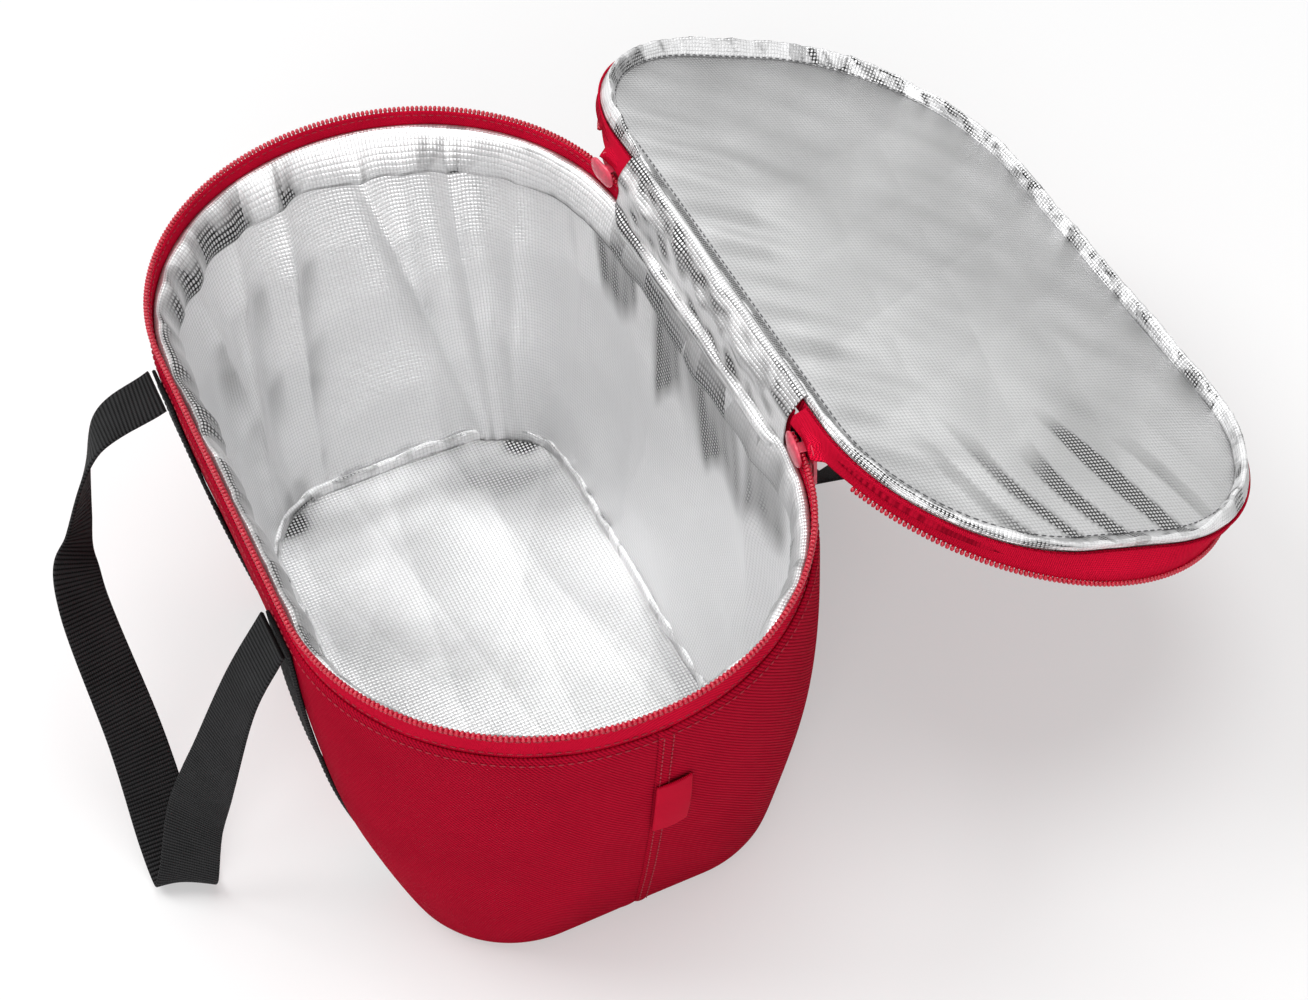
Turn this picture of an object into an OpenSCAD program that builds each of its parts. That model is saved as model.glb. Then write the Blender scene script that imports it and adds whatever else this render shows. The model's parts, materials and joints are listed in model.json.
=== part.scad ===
// Insulated cooler bag with a tapered oval tub, a zip lid hinged at the back and two webbing handles.
// X runs along the bag, -Y is the front, +Y the back and the lid's hinge, Z is up.
// The origin is the middle of the base, on the floor. The lid is drawn open and the front handle let down.

/* [Tub] */
// Length over the rim, end to end
rim_l = 430; // [400:1:470]
// Width over the rim, front to back, which is also the diameter of its round ends
rim_w = 250; // [230:1:270]
// Height of the zip line above the floor
tub_h = 218; // [190:1:250]
// Length of the base
base_l = 335; // [300:1:360]
// Width of the base
base_w = 195; // [175:1:215]
// Corner radius of the base
base_r = 58; // [40:1:75]

/* [Layers] */
// Thickness of the outer fabric
fabric_t = 1; // [0.8:0.1:1.4]
// Thickness of the insulating foam
foam_t = 5; // [4:0.5:8]
// Thickness of the foil lining
lining_t = 0.6; // [0.4:0.1:1]
// Clearance between neighbouring layers
layer_gap = 0.3; // [0.2:0.05:0.4]
// Depth of the seam that holds the zip tape in the wall
seam = 8; // [6:0.5:10]
// Width of the foil binding
binding_w = 5.5; // [4.5:0.5:7]
// Height of the foil binding
binding_h = 8; // [6:0.5:10]

/* [Zip] */
// Width of zip tape that shows between the wall and the coil
tape_h = 14; // [12:0.5:18]
// Thickness of the zip tape
tape_t = 1; // [0.8:0.1:1.4]
// Diameter of one zip coil
coil_d = 3.2; // [2.6:0.1:4]
// Space between the two coils when the lid is shut
coil_gap = 1.6; // [1.4:0.1:2.2]
// Angle round the end from the back at which the tub's zip begins
zip_start = 3; // [2:0.5:6]
// Angle round the end from the back at which the sliders are parked
slider_angle = 8.5; // [8:0.5:10]
// Length of a slider's plates
slider_l = 20; // [16:1:22]
// Height of a slider's plates
slider_h = 12; // [11:0.5:14]
// Thickness of a slider's plates
slider_t = 1.2; // [1:0.1:1.6]
// Diameter of the pin that carries a pull tab
pin_d = 1.6; // [1.4:0.1:2]
// Length of a pull tab
pull_l = 26; // [20:1:32]
// Width of a pull tab
pull_w = 8; // [7:0.5:9]

/* [Lid] */
// Angle by which the lid stands open
open_angle = 203; // [180:1:210]
// Distance from the end of the hinge strip to the start of the zip
hinge_gap = 2.5; // [1:0.5:6]
// Distance of the hinge line behind the lid's edge
hinge_back = 4; // [3:0.5:6]

/* [Webbing] */
// Width of the webbing
web_w = 30; // [25:1:35]
// Thickness of the webbing
web_t = 2; // [1.5:0.1:2.5]
// Distance of a strap's middle from the middle of the bag
strap_x = 85; // [70:1:88]
// Depth below the zip line at which the handles turn
handle_drop = 18; // [16:1:40]

/* [Side tab] */
// Width of the tab
tab_w = 18; // [14:1:22]
// Height of the tab
tab_h = 48; // [36:1:56]
// Height of the tab's lower edge above the floor
tab_z = 108; // [90:1:125]

/* [Hidden] */
$fn = 64;
// Segments in a quarter turn of the tapered walls
arc_n = 16;
// Half of the slit between the two outer panels at an end seam
slit = 0.2;
// Top of the outer panels, where the tape comes out of its seam
wall_top = tub_h - tape_h;
// Top of foam and lining, under the tape's seam
foam_top = wall_top - seam;
// The tape lies flush with the inner side of the coil that it carries
tape_in = coil_d / 2;
// How far the panels stand outside the zip line, so that the tape fits behind them
lip = tape_t - tape_in + fabric_t + 2 * layer_gap + seam * (rim_w - base_w) / (2 * wall_top);
top_l = rim_l + 2 * lip;
top_w = rim_w + 2 * lip;
// The corners of the top meet in the middle of an end, less the slit
top_r = top_w / 2 - 4 * slit;
end_x = (rim_l - rim_w) / 2;
// Insets of the layers from the outside of the wall
foam_in = fabric_t + layer_gap;
lining_in = foam_in + foam_t + layer_gap;
inside_in = lining_in + lining_t;
// Heights of the floor's layers
floor_foam_top = fabric_t + foam_t;
lining_z = floor_foam_top + layer_gap;
floor_z = lining_z + lining_t;
// Height of the middle of the zip, between the two coils
zip_z = tub_h + (coil_d + coil_gap) / 2;
// Plane of the lid's lining when shut, which leaves room for the lid's own tape
lid_z = tub_h + coil_d + coil_gap + tape_h;
lid_t = lining_t + foam_t + fabric_t + 2 * layer_gap;
lid_in = tape_in + layer_gap;
lid_edge = rim_w / 2 - lid_in;
hinge_y = lid_edge + hinge_back;
hinge_z = lid_z;
// The lid's tape starts past the parked slider, and its coil clear of the slider's way round
lid_tape_start = 15.5;
lid_coil_start = 24;
// Depth of the flat under a coil
coil_flat = 0.4;
// Channel of a slider on each side of the coil, wide enough for the curve of the chain
channel = coil_d / 2 + 0.9;
pull_t = 1.6;
eye_d = pin_d + 0.6;
eye_r = eye_d / 2 + 0.7;
pin_y = channel + slider_t + eye_r + layer_gap;
lug_t = 1.4;
// Lean of the front and back walls and of the end walls
side_lean = atan((top_w - base_w) / 2 / wall_top);
end_lean = atan((top_l - base_l) / 2 / wall_top);
// Lower edge of the tub's tape, just above where the leaning ends would cut it
tape_foot = wall_top - (lip - fabric_t - tape_t + tape_in - layer_gap) / tan(end_lean);
tab_t = 1;
strap_foot = 5;
// Clearance that lets the end of a handle turn beside its strap
turn_gap = 0.8;
// The hinge strip fills the back between the two starts of the zip
hinge_l = 2 * (end_x + rim_w / 2 * sin(zip_start) - hinge_gap);
// The handle's line of turning lies just outside the strap
handle_z = tub_h - handle_drop;
handle_y = wall_y(handle_z) + layer_gap + web_t + web_t / 2 + turn_gap;
strap_top = handle_z - layer_gap;
RED = "#c8102e";
ROSE = "#d8364a";
FOIL = "#c9ccd0";
BLACK = "#26262a";
WHITE = "#f2f2ee";

// Distance of the front or back wall's outside from the middle at height z
function wall_y(z) = base_w / 2 + (top_w - base_w) / 2 * z / wall_top;

// One corner of a rounded rectangle, counted from the corner at +X +Y
function corner(l, w, r, k) = [for (i = [0:arc_n]) let (a = 90 * (k + i / arc_n),
    sx = k == 0 || k == 3 ? 1 : -1, sy = k < 2 ? 1 : -1)
    [sx * (l / 2 - r) + r * cos(a), sy * (w / 2 - r) + r * sin(a)]];

// The back half and the front half of the wall's outline at height z, moved in by d
function back_half(z, d) = let (t = z / wall_top, l = base_l + (top_l - base_l) * t - 2 * d,
    w = base_w + (top_w - base_w) * t - 2 * d, r = base_r + (top_r - base_r) * t - d)
    concat([[l / 2, slit]], corner(l, w, r, 0), corner(l, w, r, 1), [[-l / 2, slit]]);
function front_half(z, d) = [for (p = back_half(z, d)) -p];

function at_height(points, z) = [for (p = points) [p[0], p[1], z]];

// Faces between two rows of n points that start at a and b
function band(a, b, n) = [for (i = [0:n - 2]) [a + i, a + i + 1, b + i + 1, b + i]];

// Half of the tapered wall between the insets d0 and d1 and the heights z0 and z1
module wall_half(z0, z1, d0, d1) {
    n = 2 * arc_n + 4;
    rows = concat(at_height(back_half(z0, d0), z0), at_height(back_half(z1, d0), z1),
        at_height(back_half(z1, d1), z1), at_height(back_half(z0, d1), z0));
    ends = [[3 * n, 2 * n, n, 0], [n - 1, 2 * n - 1, 3 * n - 1, 4 * n - 1]];
    polyhedron(rows, concat(band(n, 0, n), band(2 * n, n, n), band(3 * n, 2 * n, n), band(0, 3 * n, n), ends), 4);
}

// The whole tapered wall between the insets d0 and d1 and the heights z0 and z1
module wall_ring(z0, z1, d0, d1) {
    n = 4 * arc_n + 8;
    rows = [for (row = [[z0, d0], [z1, d0], [z1, d1], [z0, d1]])
        each at_height(concat(back_half(row[0], row[1]), front_half(row[0], row[1])), row[0])];
    faces = [for (k = [0:3], i = [0:n - 1]) let (a = k * n, b = (k + 1) % 4 * n, j = (i + 1) % n)
        [a + i, b + i, b + j, a + j]];
    polyhedron(rows, faces, 4);
}

// Outline of the base, moved in by d
module base_outline(d) {
    for (s = [-1, 1], t = [-1, 1])
        translate([s * (base_l / 2 - base_r), t * (base_w / 2 - base_r)])
            circle(base_r - d);
    square([base_l - 2 * d, base_w - 2 * base_r], center = true);
    square([base_l - 2 * base_r, base_w - 2 * d], center = true);
}

// Outline of the zip line with its round ends, moved in by d
module rim_outline(d) {
    for (s = [-1, 1])
        translate([s * end_x, 0])
            circle(rim_w / 2 - d);
    square([2 * end_x, rim_w - 2 * d], center = true);
}

// A strip whose section, in distance from the zip line and height, runs along the zip from start degrees
module along_zip(start) {
    for (s = [0, 1])
        mirror([s, 0, 0])
            translate([end_x, 0, 0])
                rotate(-90)
                    rotate_extrude(angle = 180 - start)
                        translate([rim_w / 2, 0])
                            children();
    translate([end_x, -rim_w / 2, 0])
        rotate([90, 0, -90])
            linear_extrude(2 * end_x)
                children();
}

module tape_section(z0, z1) {
    translate([-tape_in, z0])
        square([tape_t, z1 - z0]);
}

// A coil's section, flat underneath where it is sewn to the tape's edge
module coil_section(z) {
    translate([0, z])
        intersection() {
            circle(d = coil_d, $fn = 32);
            translate([-coil_d, coil_flat - coil_d / 2])
                square(2 * coil_d);
        }
}

// Puts what is drawn with the lid shut where it is with the lid open
module opened() {
    translate([0, hinge_y, hinge_z])
        rotate([-open_angle, 0, 0])
            translate([0, -hinge_y, -hinge_z])
                children();
}

// The same for a point given by its distance to the back and its height
function opened_point(y, z) = let (c = cos(open_angle), s = sin(open_angle), dy = y - hinge_y, dz = z - hinge_z)
    [hinge_y + dy * c + dz * s, hinge_z - dy * s + dz * c];

// A profile of distance to the back and height, drawn out over length l along X
module along_x(l) {
    translate([-l / 2, 0, 0])
        rotate([90, 0, 90])
            linear_extrude(l)
                children();
}

module front_panel() {
    color(RED)
        rotate(180)
            wall_half(fabric_t, wall_top, 0, fabric_t);
}

module back_panel() {
    color(RED)
        wall_half(fabric_t, wall_top, 0, fabric_t);
}

module base_panel() {
    color(RED)
        linear_extrude(fabric_t)
            base_outline(0);
}

module side_tab() {
    color(RED)
        translate([base_l / 2 + tab_z * tan(end_lean) + layer_gap, slit, tab_z])
            rotate([0, end_lean, 0])
                cube([tab_t, tab_w, tab_h]);
}

module base_foam() {
    color(WHITE)
        translate([0, 0, fabric_t])
            linear_extrude(foam_t)
                base_outline(foam_in);
}

module wall_foam() {
    color(WHITE)
        wall_ring(lining_z, foam_top, foam_in, foam_in + foam_t);
}

module wall_lining() {
    color(FOIL)
        wall_ring(lining_z, foam_top, lining_in, inside_in);
}

module floor_lining() {
    color(FOIL)
        translate([0, 0, lining_z])
            linear_extrude(lining_t)
                base_outline(inside_in + layer_gap);
}

module floor_binding() {
    inset = inside_in + layer_gap;
    color(FOIL)
        translate([0, 0, floor_z])
            linear_extrude(binding_h)
                difference() {
                    base_outline(inset);
                    base_outline(inset + binding_w / 2);
                }
}

module rim_binding() {
    color(FOIL)
        translate([0, 0, foam_top])
            linear_extrude(binding_h)
                difference() {
                    rim_outline(lid_in);
                    rim_outline(lid_in + binding_w);
                }
}

module tub_zip_tape() {
    color(RED)
        along_zip(zip_start)
            tape_section(tape_foot, tub_h - coil_d / 2 + coil_flat);
}

module tub_zip_coil() {
    color(RED)
        along_zip(zip_start)
            coil_section(tub_h);
}

// Where the fabric strip of the hinge ends, beside the outer edge of the open lid
hinge_top = opened_point(lid_edge + 2 * layer_gap, lid_z + lid_t);

// The fabric strip goes on from the tape's seam and turns out to the lid's outer edge
module hinge_outer() {
    y = rim_w / 2 - tape_in;
    color(RED)
        along_x(hinge_l)
            polygon([[y, foam_top], [y + tape_t, foam_top], [y + tape_t, wall_top],
                hinge_top, hinge_top - [tape_t, 0], [y, wall_top]]);
}

// The foil strip goes from the rim's binding, in front of the fabric strip, over to the lid's inner edge
module hinge_lining() {
    y = lid_edge;
    foot = foam_top + binding_h;
    knee = hinge_top + [-tape_t - layer_gap, layer_gap];
    edge = opened_point(lid_edge + 2 * layer_gap, lid_z);
    color(FOIL)
        along_x(hinge_l)
            polygon([[y - lining_t, foot], [y, foot], knee, edge, edge + [-lining_t, lining_t],
                knee + [-lining_t, lining_t]]);
}

// A strap sewn flat to the front wall, from the base up to where the handle begins
module strap() {
    color(BLACK)
        along_x(web_w)
            polygon([for (p = [[strap_foot, 0], [strap_top, 0], [strap_top, web_t], [strap_foot, web_t]])
                [-wall_y(p[0]) - layer_gap - p[1], p[0]]]);
}

module front_near_strap() {
    translate([strap_x, 0, 0])
        strap();
}

module front_far_strap() {
    translate([-strap_x, 0, 0])
        strap();
}

module back_near_strap() {
    mirror([0, 1, 0])
        front_near_strap();
}

module back_far_strap() {
    mirror([0, 1, 0])
        front_far_strap();
}

// The lid's outer fabric, turned down round the foam to the seam
module lid_panel() {
    color(RED)
        opened()
            translate([0, 0, lid_z])
                difference() {
                    linear_extrude(lid_t)
                        rim_outline(lid_in);
                    translate([0, 0, -fabric_t])
                        linear_extrude(lid_t)
                            rim_outline(lid_in + fabric_t);
                }
}

module lid_foam() {
    color(WHITE)
        opened()
            translate([0, 0, lid_z + lining_t + layer_gap])
                linear_extrude(foam_t)
                    rim_outline(lid_in + fabric_t + layer_gap);
}

module lid_lining() {
    color(FOIL)
        opened()
            translate([0, 0, lid_z])
                linear_extrude(lining_t)
                    rim_outline(lid_in + fabric_t + layer_gap);
}

module lid_binding() {
    color(FOIL)
        opened()
            translate([0, 0, lid_z - binding_h])
                linear_extrude(binding_h)
                    difference() {
                        rim_outline(lid_in);
                        rim_outline(lid_in + binding_w);
                    }
}

// Let down over the lid's edge, away from the lining, as it hangs on the open lid
module lid_zip_tape() {
    color(RED)
        opened()
            along_zip(lid_tape_start)
                tape_section(lid_z, lid_z + tape_h - coil_d / 2 + coil_flat);
}

module lid_zip_coil() {
    color(RED)
        opened()
            along_zip(lid_coil_start)
                coil_section(lid_z + tape_h);
}

// A plate of a slider with round ends, lying outside the distance y from the chain
module slider_plate(y) {
    translate([0, y + slider_t, 0])
        rotate([90, 0, 0])
            linear_extrude(slider_t) {
                square([slider_l - slider_h, slider_h], center = true);
                for (s = [-1, 1])
                    translate([s * (slider_l - slider_h) / 2, 0])
                        circle(d = slider_h);
            }
}

// Two plates, the post between the coils, and the lugs and pin that carry the pull
module slider() {
    post_l = 6;
    post_h = coil_gap - 2 * layer_gap;
    lug_y = channel + slider_t;
    slider_plate(channel);
    slider_plate(-channel - slider_t);
    translate([-post_l / 2, -channel, -post_h / 2])
        cube([post_l, 2 * channel, post_h]);
    for (s = [-1, 1])
        translate([s * (pull_w / 2 + layer_gap + lug_t / 2), 0, 0])
            rotate([90, 0, 90])
                translate([0, 0, -lug_t / 2]) {
                    translate([pin_y, 0, 0])
                        cylinder(r = eye_r, h = lug_t);
                    translate([lug_y, -eye_r, 0])
                        cube([pin_y - lug_y, 2 * eye_r, lug_t]);
                }
    translate([-pull_w / 2 - layer_gap - lug_t / 2, pin_y, 0])
        rotate([0, 90, 0])
            cylinder(d = pin_d, h = pull_w + 2 * layer_gap + lug_t);
}

// A tab with an eye round the pin and a slot, hanging down
module pull() {
    slot_w = 3;
    slot_l = 10;
    difference() {
        union() {
            translate([-pull_w / 2, pin_y, 0])
                rotate([0, 90, 0])
                    cylinder(r = eye_r, h = pull_w);
            translate([-pull_w / 2, pin_y - pull_t / 2, -pull_l + pull_w / 2])
                cube([pull_w, pull_t, pull_l - pull_w / 2]);
            translate([0, pin_y + pull_t / 2, -pull_l + pull_w / 2])
                rotate([90, 0, 0])
                    cylinder(d = pull_w, h = pull_t);
        }
        translate([-pull_w, pin_y, 0])
            rotate([0, 90, 0])
                cylinder(d = eye_d, h = 2 * pull_w);
        translate([-slot_w / 2, pin_y - pull_t, -pull_l + pull_w / 2])
            cube([slot_w, 2 * pull_t, slot_l]);
    }
}

// Puts a piece of the slider on the zip, parked at the back
module parked() {
    color(ROSE)
        translate([end_x, 0, zip_z])
            rotate(-slider_angle)
                translate([0, rim_w / 2, 0])
                    children();
}

module near_slider() {
    parked()
        slider();
}

module far_slider() {
    mirror([1, 0, 0])
        near_slider();
}

module near_pull() {
    parked()
        pull();
}

module far_pull() {
    mirror([1, 0, 0])
        near_pull();
}

// The handle's way from the near strap to the far one: place along X, distance out from its line of turning,
// height above the floor, and the turn of the webbing's width from along X to straight out, in degrees
handle_way = [[strap_x, 0, handle_z, 180], [strap_x, 20, 170, 175], [79, 41, 116, 155], [64, 55, 62, 134],
    [62, 66, 17, 121], [51, 68, 6, 109], [34, 68, 17, 90], [1, 66, 60, 69], [-48, 67, 119, 52], [-70, 56, 144, 38],
    [-strap_x, 34, 184, 18], [-strap_x, 0, handle_z, 0]];

// A point of the smooth curve through a list of rows, at t counted in rows
function smooth(rows, t) = let (n = len(rows) - 1, k = min(floor(t), n - 1), u = t - k,
    a = rows[max(k - 1, 0)], b = rows[k], c = rows[k + 1], d = rows[min(k + 2, n)])
    (2 * b + u * (c - a) + u * u * (2 * a - 5 * b + 4 * c - d) + u * u * u * (3 * b - a - 3 * c + d)) / 2;

function unit(v) = v / norm(v);

// The four corners of the webbing's section at t along the way
function web_section(t) = let (h = 0.05, n = len(handle_way) - 1, p = smooth(handle_way, t),
    q = smooth(handle_way, min(t + h, n)) - smooth(handle_way, max(t - h, 0)),
    along = unit([q[0], -q[1], q[2]]), raw = [cos(p[3]), -sin(p[3]), 0],
    wide = unit(raw - (raw * along) * along), thick = cross(along, wide), middle = [p[0], -handle_y - p[1], p[2]])
    [for (c = [[-1, -1], [1, -1], [1, 1], [-1, 1]])
        middle + wide * c[0] * web_w / 2 + thick * c[1] * web_t / 2];

module handle() {
    steps = 4 * (len(handle_way) - 1);
    points = [for (i = [0:steps]) each web_section(i / 4)];
    sides = [for (i = [0:steps - 1], k = [0:3]) let (a = 4 * i + k, b = 4 * i + (k + 1) % 4)
        each [[a, a + 4, b + 4], [a, b + 4, b]]];
    color(BLACK)
        polyhedron(points, concat([[0, 1, 2, 3], [for (k = [3:-1:0]) 4 * steps + k]], sides), 4);
}

module front_handle() {
    handle();
}

module back_handle() {
    rotate(180)
        handle();
}

front_panel();
back_panel();
base_panel();
side_tab();
base_foam();
wall_foam();
wall_lining();
floor_lining();
floor_binding();
rim_binding();
tub_zip_tape();
tub_zip_coil();
hinge_outer();
hinge_lining();
front_near_strap();
front_far_strap();
back_near_strap();
back_far_strap();
lid_panel();
lid_foam();
lid_lining();
lid_binding();
lid_zip_tape();
lid_zip_coil();
near_slider();
far_slider();
near_pull();
far_pull();
front_handle();
back_handle();
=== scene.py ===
import json
import math

import bmesh
import bpy
import numpy as np
from mathutils import Matrix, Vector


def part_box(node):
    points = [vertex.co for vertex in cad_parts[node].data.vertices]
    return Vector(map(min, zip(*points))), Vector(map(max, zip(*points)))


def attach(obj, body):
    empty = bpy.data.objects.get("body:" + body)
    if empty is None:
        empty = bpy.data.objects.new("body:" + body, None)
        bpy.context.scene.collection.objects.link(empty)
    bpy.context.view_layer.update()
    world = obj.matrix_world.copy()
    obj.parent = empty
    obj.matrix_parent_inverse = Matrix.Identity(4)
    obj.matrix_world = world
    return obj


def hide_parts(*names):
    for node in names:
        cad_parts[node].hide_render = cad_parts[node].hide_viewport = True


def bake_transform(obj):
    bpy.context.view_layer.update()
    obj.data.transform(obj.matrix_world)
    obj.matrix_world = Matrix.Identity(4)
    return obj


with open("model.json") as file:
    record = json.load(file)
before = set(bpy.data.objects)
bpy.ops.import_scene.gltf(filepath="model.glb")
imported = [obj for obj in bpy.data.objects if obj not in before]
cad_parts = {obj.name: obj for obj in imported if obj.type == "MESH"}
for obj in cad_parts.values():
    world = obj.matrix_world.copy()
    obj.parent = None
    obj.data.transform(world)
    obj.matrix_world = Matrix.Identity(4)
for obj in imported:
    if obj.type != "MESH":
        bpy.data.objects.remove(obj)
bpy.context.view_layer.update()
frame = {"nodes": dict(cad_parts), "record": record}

bl_info = {
    "name": "Insulated Cooler Bag",
    "version": (1, 0, 0),
    "blender": (4, 5, 0),
    "location": "View3D > Sidebar > Cooler Bag",
    "description": "Dresses the packed frame of a soft cooler bag in cloth, foil, zip and webbing",
    "category": "Object",
}


def low(node):
    """Lowest corner of a CAD node."""
    return np.array(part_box(node)[0])


def high(node):
    """Highest corner of a CAD node."""
    return np.array(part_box(node)[1])


def joint(name):
    """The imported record's joint of that name."""
    return next(j for j in frame["record"]["behaviour"]["joints"] if j["name"] == name)


# Sizes in metres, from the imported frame; the plain numbers repeat sizes that no single node shows
COIL = 0.0032
RIM_L = high("tub_zip_coil")[0] - low("tub_zip_coil")[0] - COIL
RIM_W = -2 * low("tub_zip_coil")[1] - COIL
ZIP_Z = high("tub_zip_coil")[2] - COIL / 2
TOP_L = high("front_panel")[0] - low("front_panel")[0]
TOP_W = -2 * low("front_panel")[1]
WALL_TOP = high("front_panel")[2]
BASE_L = high("base_panel")[0] - low("base_panel")[0]
BASE_W = high("base_panel")[1] - low("base_panel")[1]
BASE_CORNER = 0.058
FLOOR_Z = high("floor_lining")[2]
FOAM_TOP = high("wall_foam")[2]
HINGE = np.array(joint("lid_hinge")["pos_m"])
OPEN = math.radians(joint("lid_hinge")["range_deg"][1])
HINGE_X = high("hinge_outer")[0]
LID_EDGE = RIM_W / 2 - 0.0019
LID_T = 0.0072
TAPE_H = 0.014
STRAP_X = (low("front_near_strap")[0] + high("front_near_strap")[0]) / 2
WEB_W = high("front_near_strap")[0] - low("front_near_strap")[0]
HANDLE_Y = -joint("front_handle_swing")["pos_m"][1]
TAB_LOW = low("side_tab")
TAB_HIGH = high("side_tab")
RIM_ROUND = 2 * (RIM_L - RIM_W) + math.pi * RIM_W
STRAIGHT = (RIM_L - RIM_W) / 2  # half of the rim's straight side
CLOTH, FOIL, TAPE, WEB = 0.001, 0.0006, 0.0009, 0.0019  # thicknesses


class BagShape(bpy.types.PropertyGroup):
    """Sizes of the soft parts."""
    swell: bpy.props.FloatProperty(
        name="Swell", description="How far the outer cloth stands out at mid height", default=0.003, unit="LENGTH")
    fold: bpy.props.FloatProperty(
        name="Fold depth", description="Depth of the deepest fold in the wall lining", default=0.014, unit="LENGTH")
    crumple: bpy.props.FloatProperty(
        name="Crumple", description="Height of the small facets in the foil", default=0.0016, unit="LENGTH")
    puff: bpy.props.FloatProperty(
        name="Lid puff", description="How far the lid's lining stands up in its middle", default=0.004, unit="LENGTH")
    gather: bpy.props.FloatProperty(
        name="Gather", description="Depth of the gathers in the foil bindings", default=0.0016, unit="LENGTH")
    tooth: bpy.props.FloatProperty(
        name="Tooth pitch", description="Distance from one zip tooth to the next", default=0.0024, unit="LENGTH")
    stitch: bpy.props.FloatProperty(
        name="Stitch pitch", description="Distance from one stitch to the next", default=0.0042, unit="LENGTH")
    thread: bpy.props.FloatProperty(
        name="Thread", description="Thickness of the sewing thread", default=0.0007, unit="LENGTH")


class BagColours(bpy.types.PropertyGroup):
    """Colours of the finishes."""
    red: bpy.props.FloatVectorProperty(
        name="Red cloth", description="Outer cloth", default=(0.36, 0.0036, 0.0200), subtype="COLOR", size=3)
    rose: bpy.props.FloatVectorProperty(
        name="Rose enamel", description="Zip sliders", default=(0.72, 0.050, 0.100), subtype="COLOR", size=3)
    silver: bpy.props.FloatVectorProperty(
        name="Silver foil", description="Lining film", default=(0.93, 0.93, 0.935), subtype="COLOR", size=3)
    charcoal: bpy.props.FloatVectorProperty(
        name="Charcoal webbing", description="Straps and handles", default=(0.014, 0.014, 0.0145), subtype="COLOR",
        size=3)


def shape():
    """The user's sizes."""
    return bpy.context.scene.bag_shape


def colours():
    """The user's colours."""
    return bpy.context.scene.bag_colours


# Curves and waves


def outline(s, length, width, corner):
    """Rounded rectangle walked by the share s of its way round from the middle of the +X end towards +Y.

    A quarter is half an end, a quarter circle and half a side; the other quarters are its mirror images.
    Returns x, y and the outward direction."""
    s = np.asarray(s, float)
    turn = np.floor(4 * s)
    part = 4 * s - turn
    quarter = np.mod(turn, 4).astype(int)
    f = np.where(quarter % 2 == 0, part, 1 - part)
    end = width / 2 - corner
    arc = math.pi / 2 * corner
    way = f * (end + arc + length / 2 - corner)
    a = np.clip((way - end) / np.maximum(corner, 1e-9), 0, math.pi / 2)
    x = length / 2 - corner + corner * np.cos(a) - np.maximum(way - end - arc, 0)
    y = np.minimum(way, end) + corner * np.sin(a)
    sx = np.where((quarter == 0) | (quarter == 3), 1.0, -1.0)
    sy = np.where(quarter < 2, 1.0, -1.0)
    return sx * x, sy * y, sx * np.cos(a), sy * np.sin(a)


def wall_size(z):
    """Length, width and corner of the tapered wall at height z, which grow in a straight line from base to top."""
    t = np.clip(z / WALL_TOP, 0, 1.05)
    return (BASE_L + (TOP_L - BASE_L) * t, BASE_W + (TOP_W - BASE_W) * t,
            BASE_CORNER + (TOP_W / 2 - 0.0008 - BASE_CORNER) * t)


def fade(value, start=0.0, width=1.0):
    """0 before start, 1 from a width past it and a straight line between them."""
    return np.clip((value - start) / width, 0, 1)


def there_and_back(out, home):
    """Shares from 0 to 1 in some steps and back to 0 in others, for a flat piece's two faces."""
    return np.concatenate([np.linspace(0, 1, out), np.linspace(1, 0, home)])


def ring(s, radius, q=0.0):
    """The two coordinates of a circle at shares s, the same for each q: waves over them close on themselves."""
    return np.cos(2 * math.pi * s) * radius + 0 * q, np.sin(2 * math.pi * s) * radius + 0 * q


def waves(coords, length, seed, count=5):
    """Sum of sines in seeded directions of the given coordinates, from -1 to 1."""
    rng = np.random.default_rng(seed)
    total = 0
    for _ in range(count):
        k = rng.normal(size=len(coords))
        k *= 2 * math.pi / (length * rng.uniform(0.7, 1.5) * np.linalg.norm(k))
        total = total + np.sin(sum(c * f for c, f in zip(coords, k)) + rng.uniform(0, 2 * math.pi))
    return total / count


def facets(u, v, length, seed, count=6):
    """Sum of folded sines |sin| in seeded directions, which gives flat facets with sharp creases, from 0 to 1."""
    rng = np.random.default_rng(seed)
    total = 0
    for _ in range(count):
        a = rng.uniform(0, math.pi)
        k = math.pi / (length * rng.uniform(0.6, 1.6))
        total = total + np.abs(np.sin(k * (u * math.cos(a) + v * math.sin(a)) + rng.uniform(0, math.pi)))
    return 1 - total / count


def swell(x, y, z):
    """How far the outer cloth stands out: a belly sin(pi t) of the height t, fuller near the tab's end, and waves."""
    t = np.clip(z / WALL_TOP, 0, 1)
    belly = np.sin(math.pi * t)
    dents = waves((x, y, z), 0.11, 3) * 0.45 + waves((x, y, z * 0.5), 0.045, 8) * 0.16
    fuller, at, width = 2.3, 0.120, 0.045
    shoulder = fuller * np.exp(-((x - at) / width) ** 2) * fade(np.abs(y), 0, 0.08)
    return shape().swell * (belly * (1 + shoulder) + dents * np.sqrt(np.clip(belly, 0, 1)))


def cloth_point(s, z, inset):
    """Point of the outer wall at share s and height z, moved inwards by inset and out by the swell."""
    length, width, corner = wall_size(z)
    x, y, nx, ny = outline(s, length, width, corner)
    out = swell(x, y, z) - inset
    return np.stack([x + nx * out, y + ny * out, np.broadcast_to(z, x.shape)], -1)


def side_y(x, z):
    """Distance of the front or back wall from the middle plane at x and z, swell included."""
    length, width, corner = wall_size(z)
    past = np.clip(np.abs(x) - (length / 2 - corner), 0, None)
    y = width / 2 - corner + np.sqrt(np.maximum(corner ** 2 - past ** 2, 0))
    return y + swell(x, -y, z)


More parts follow.
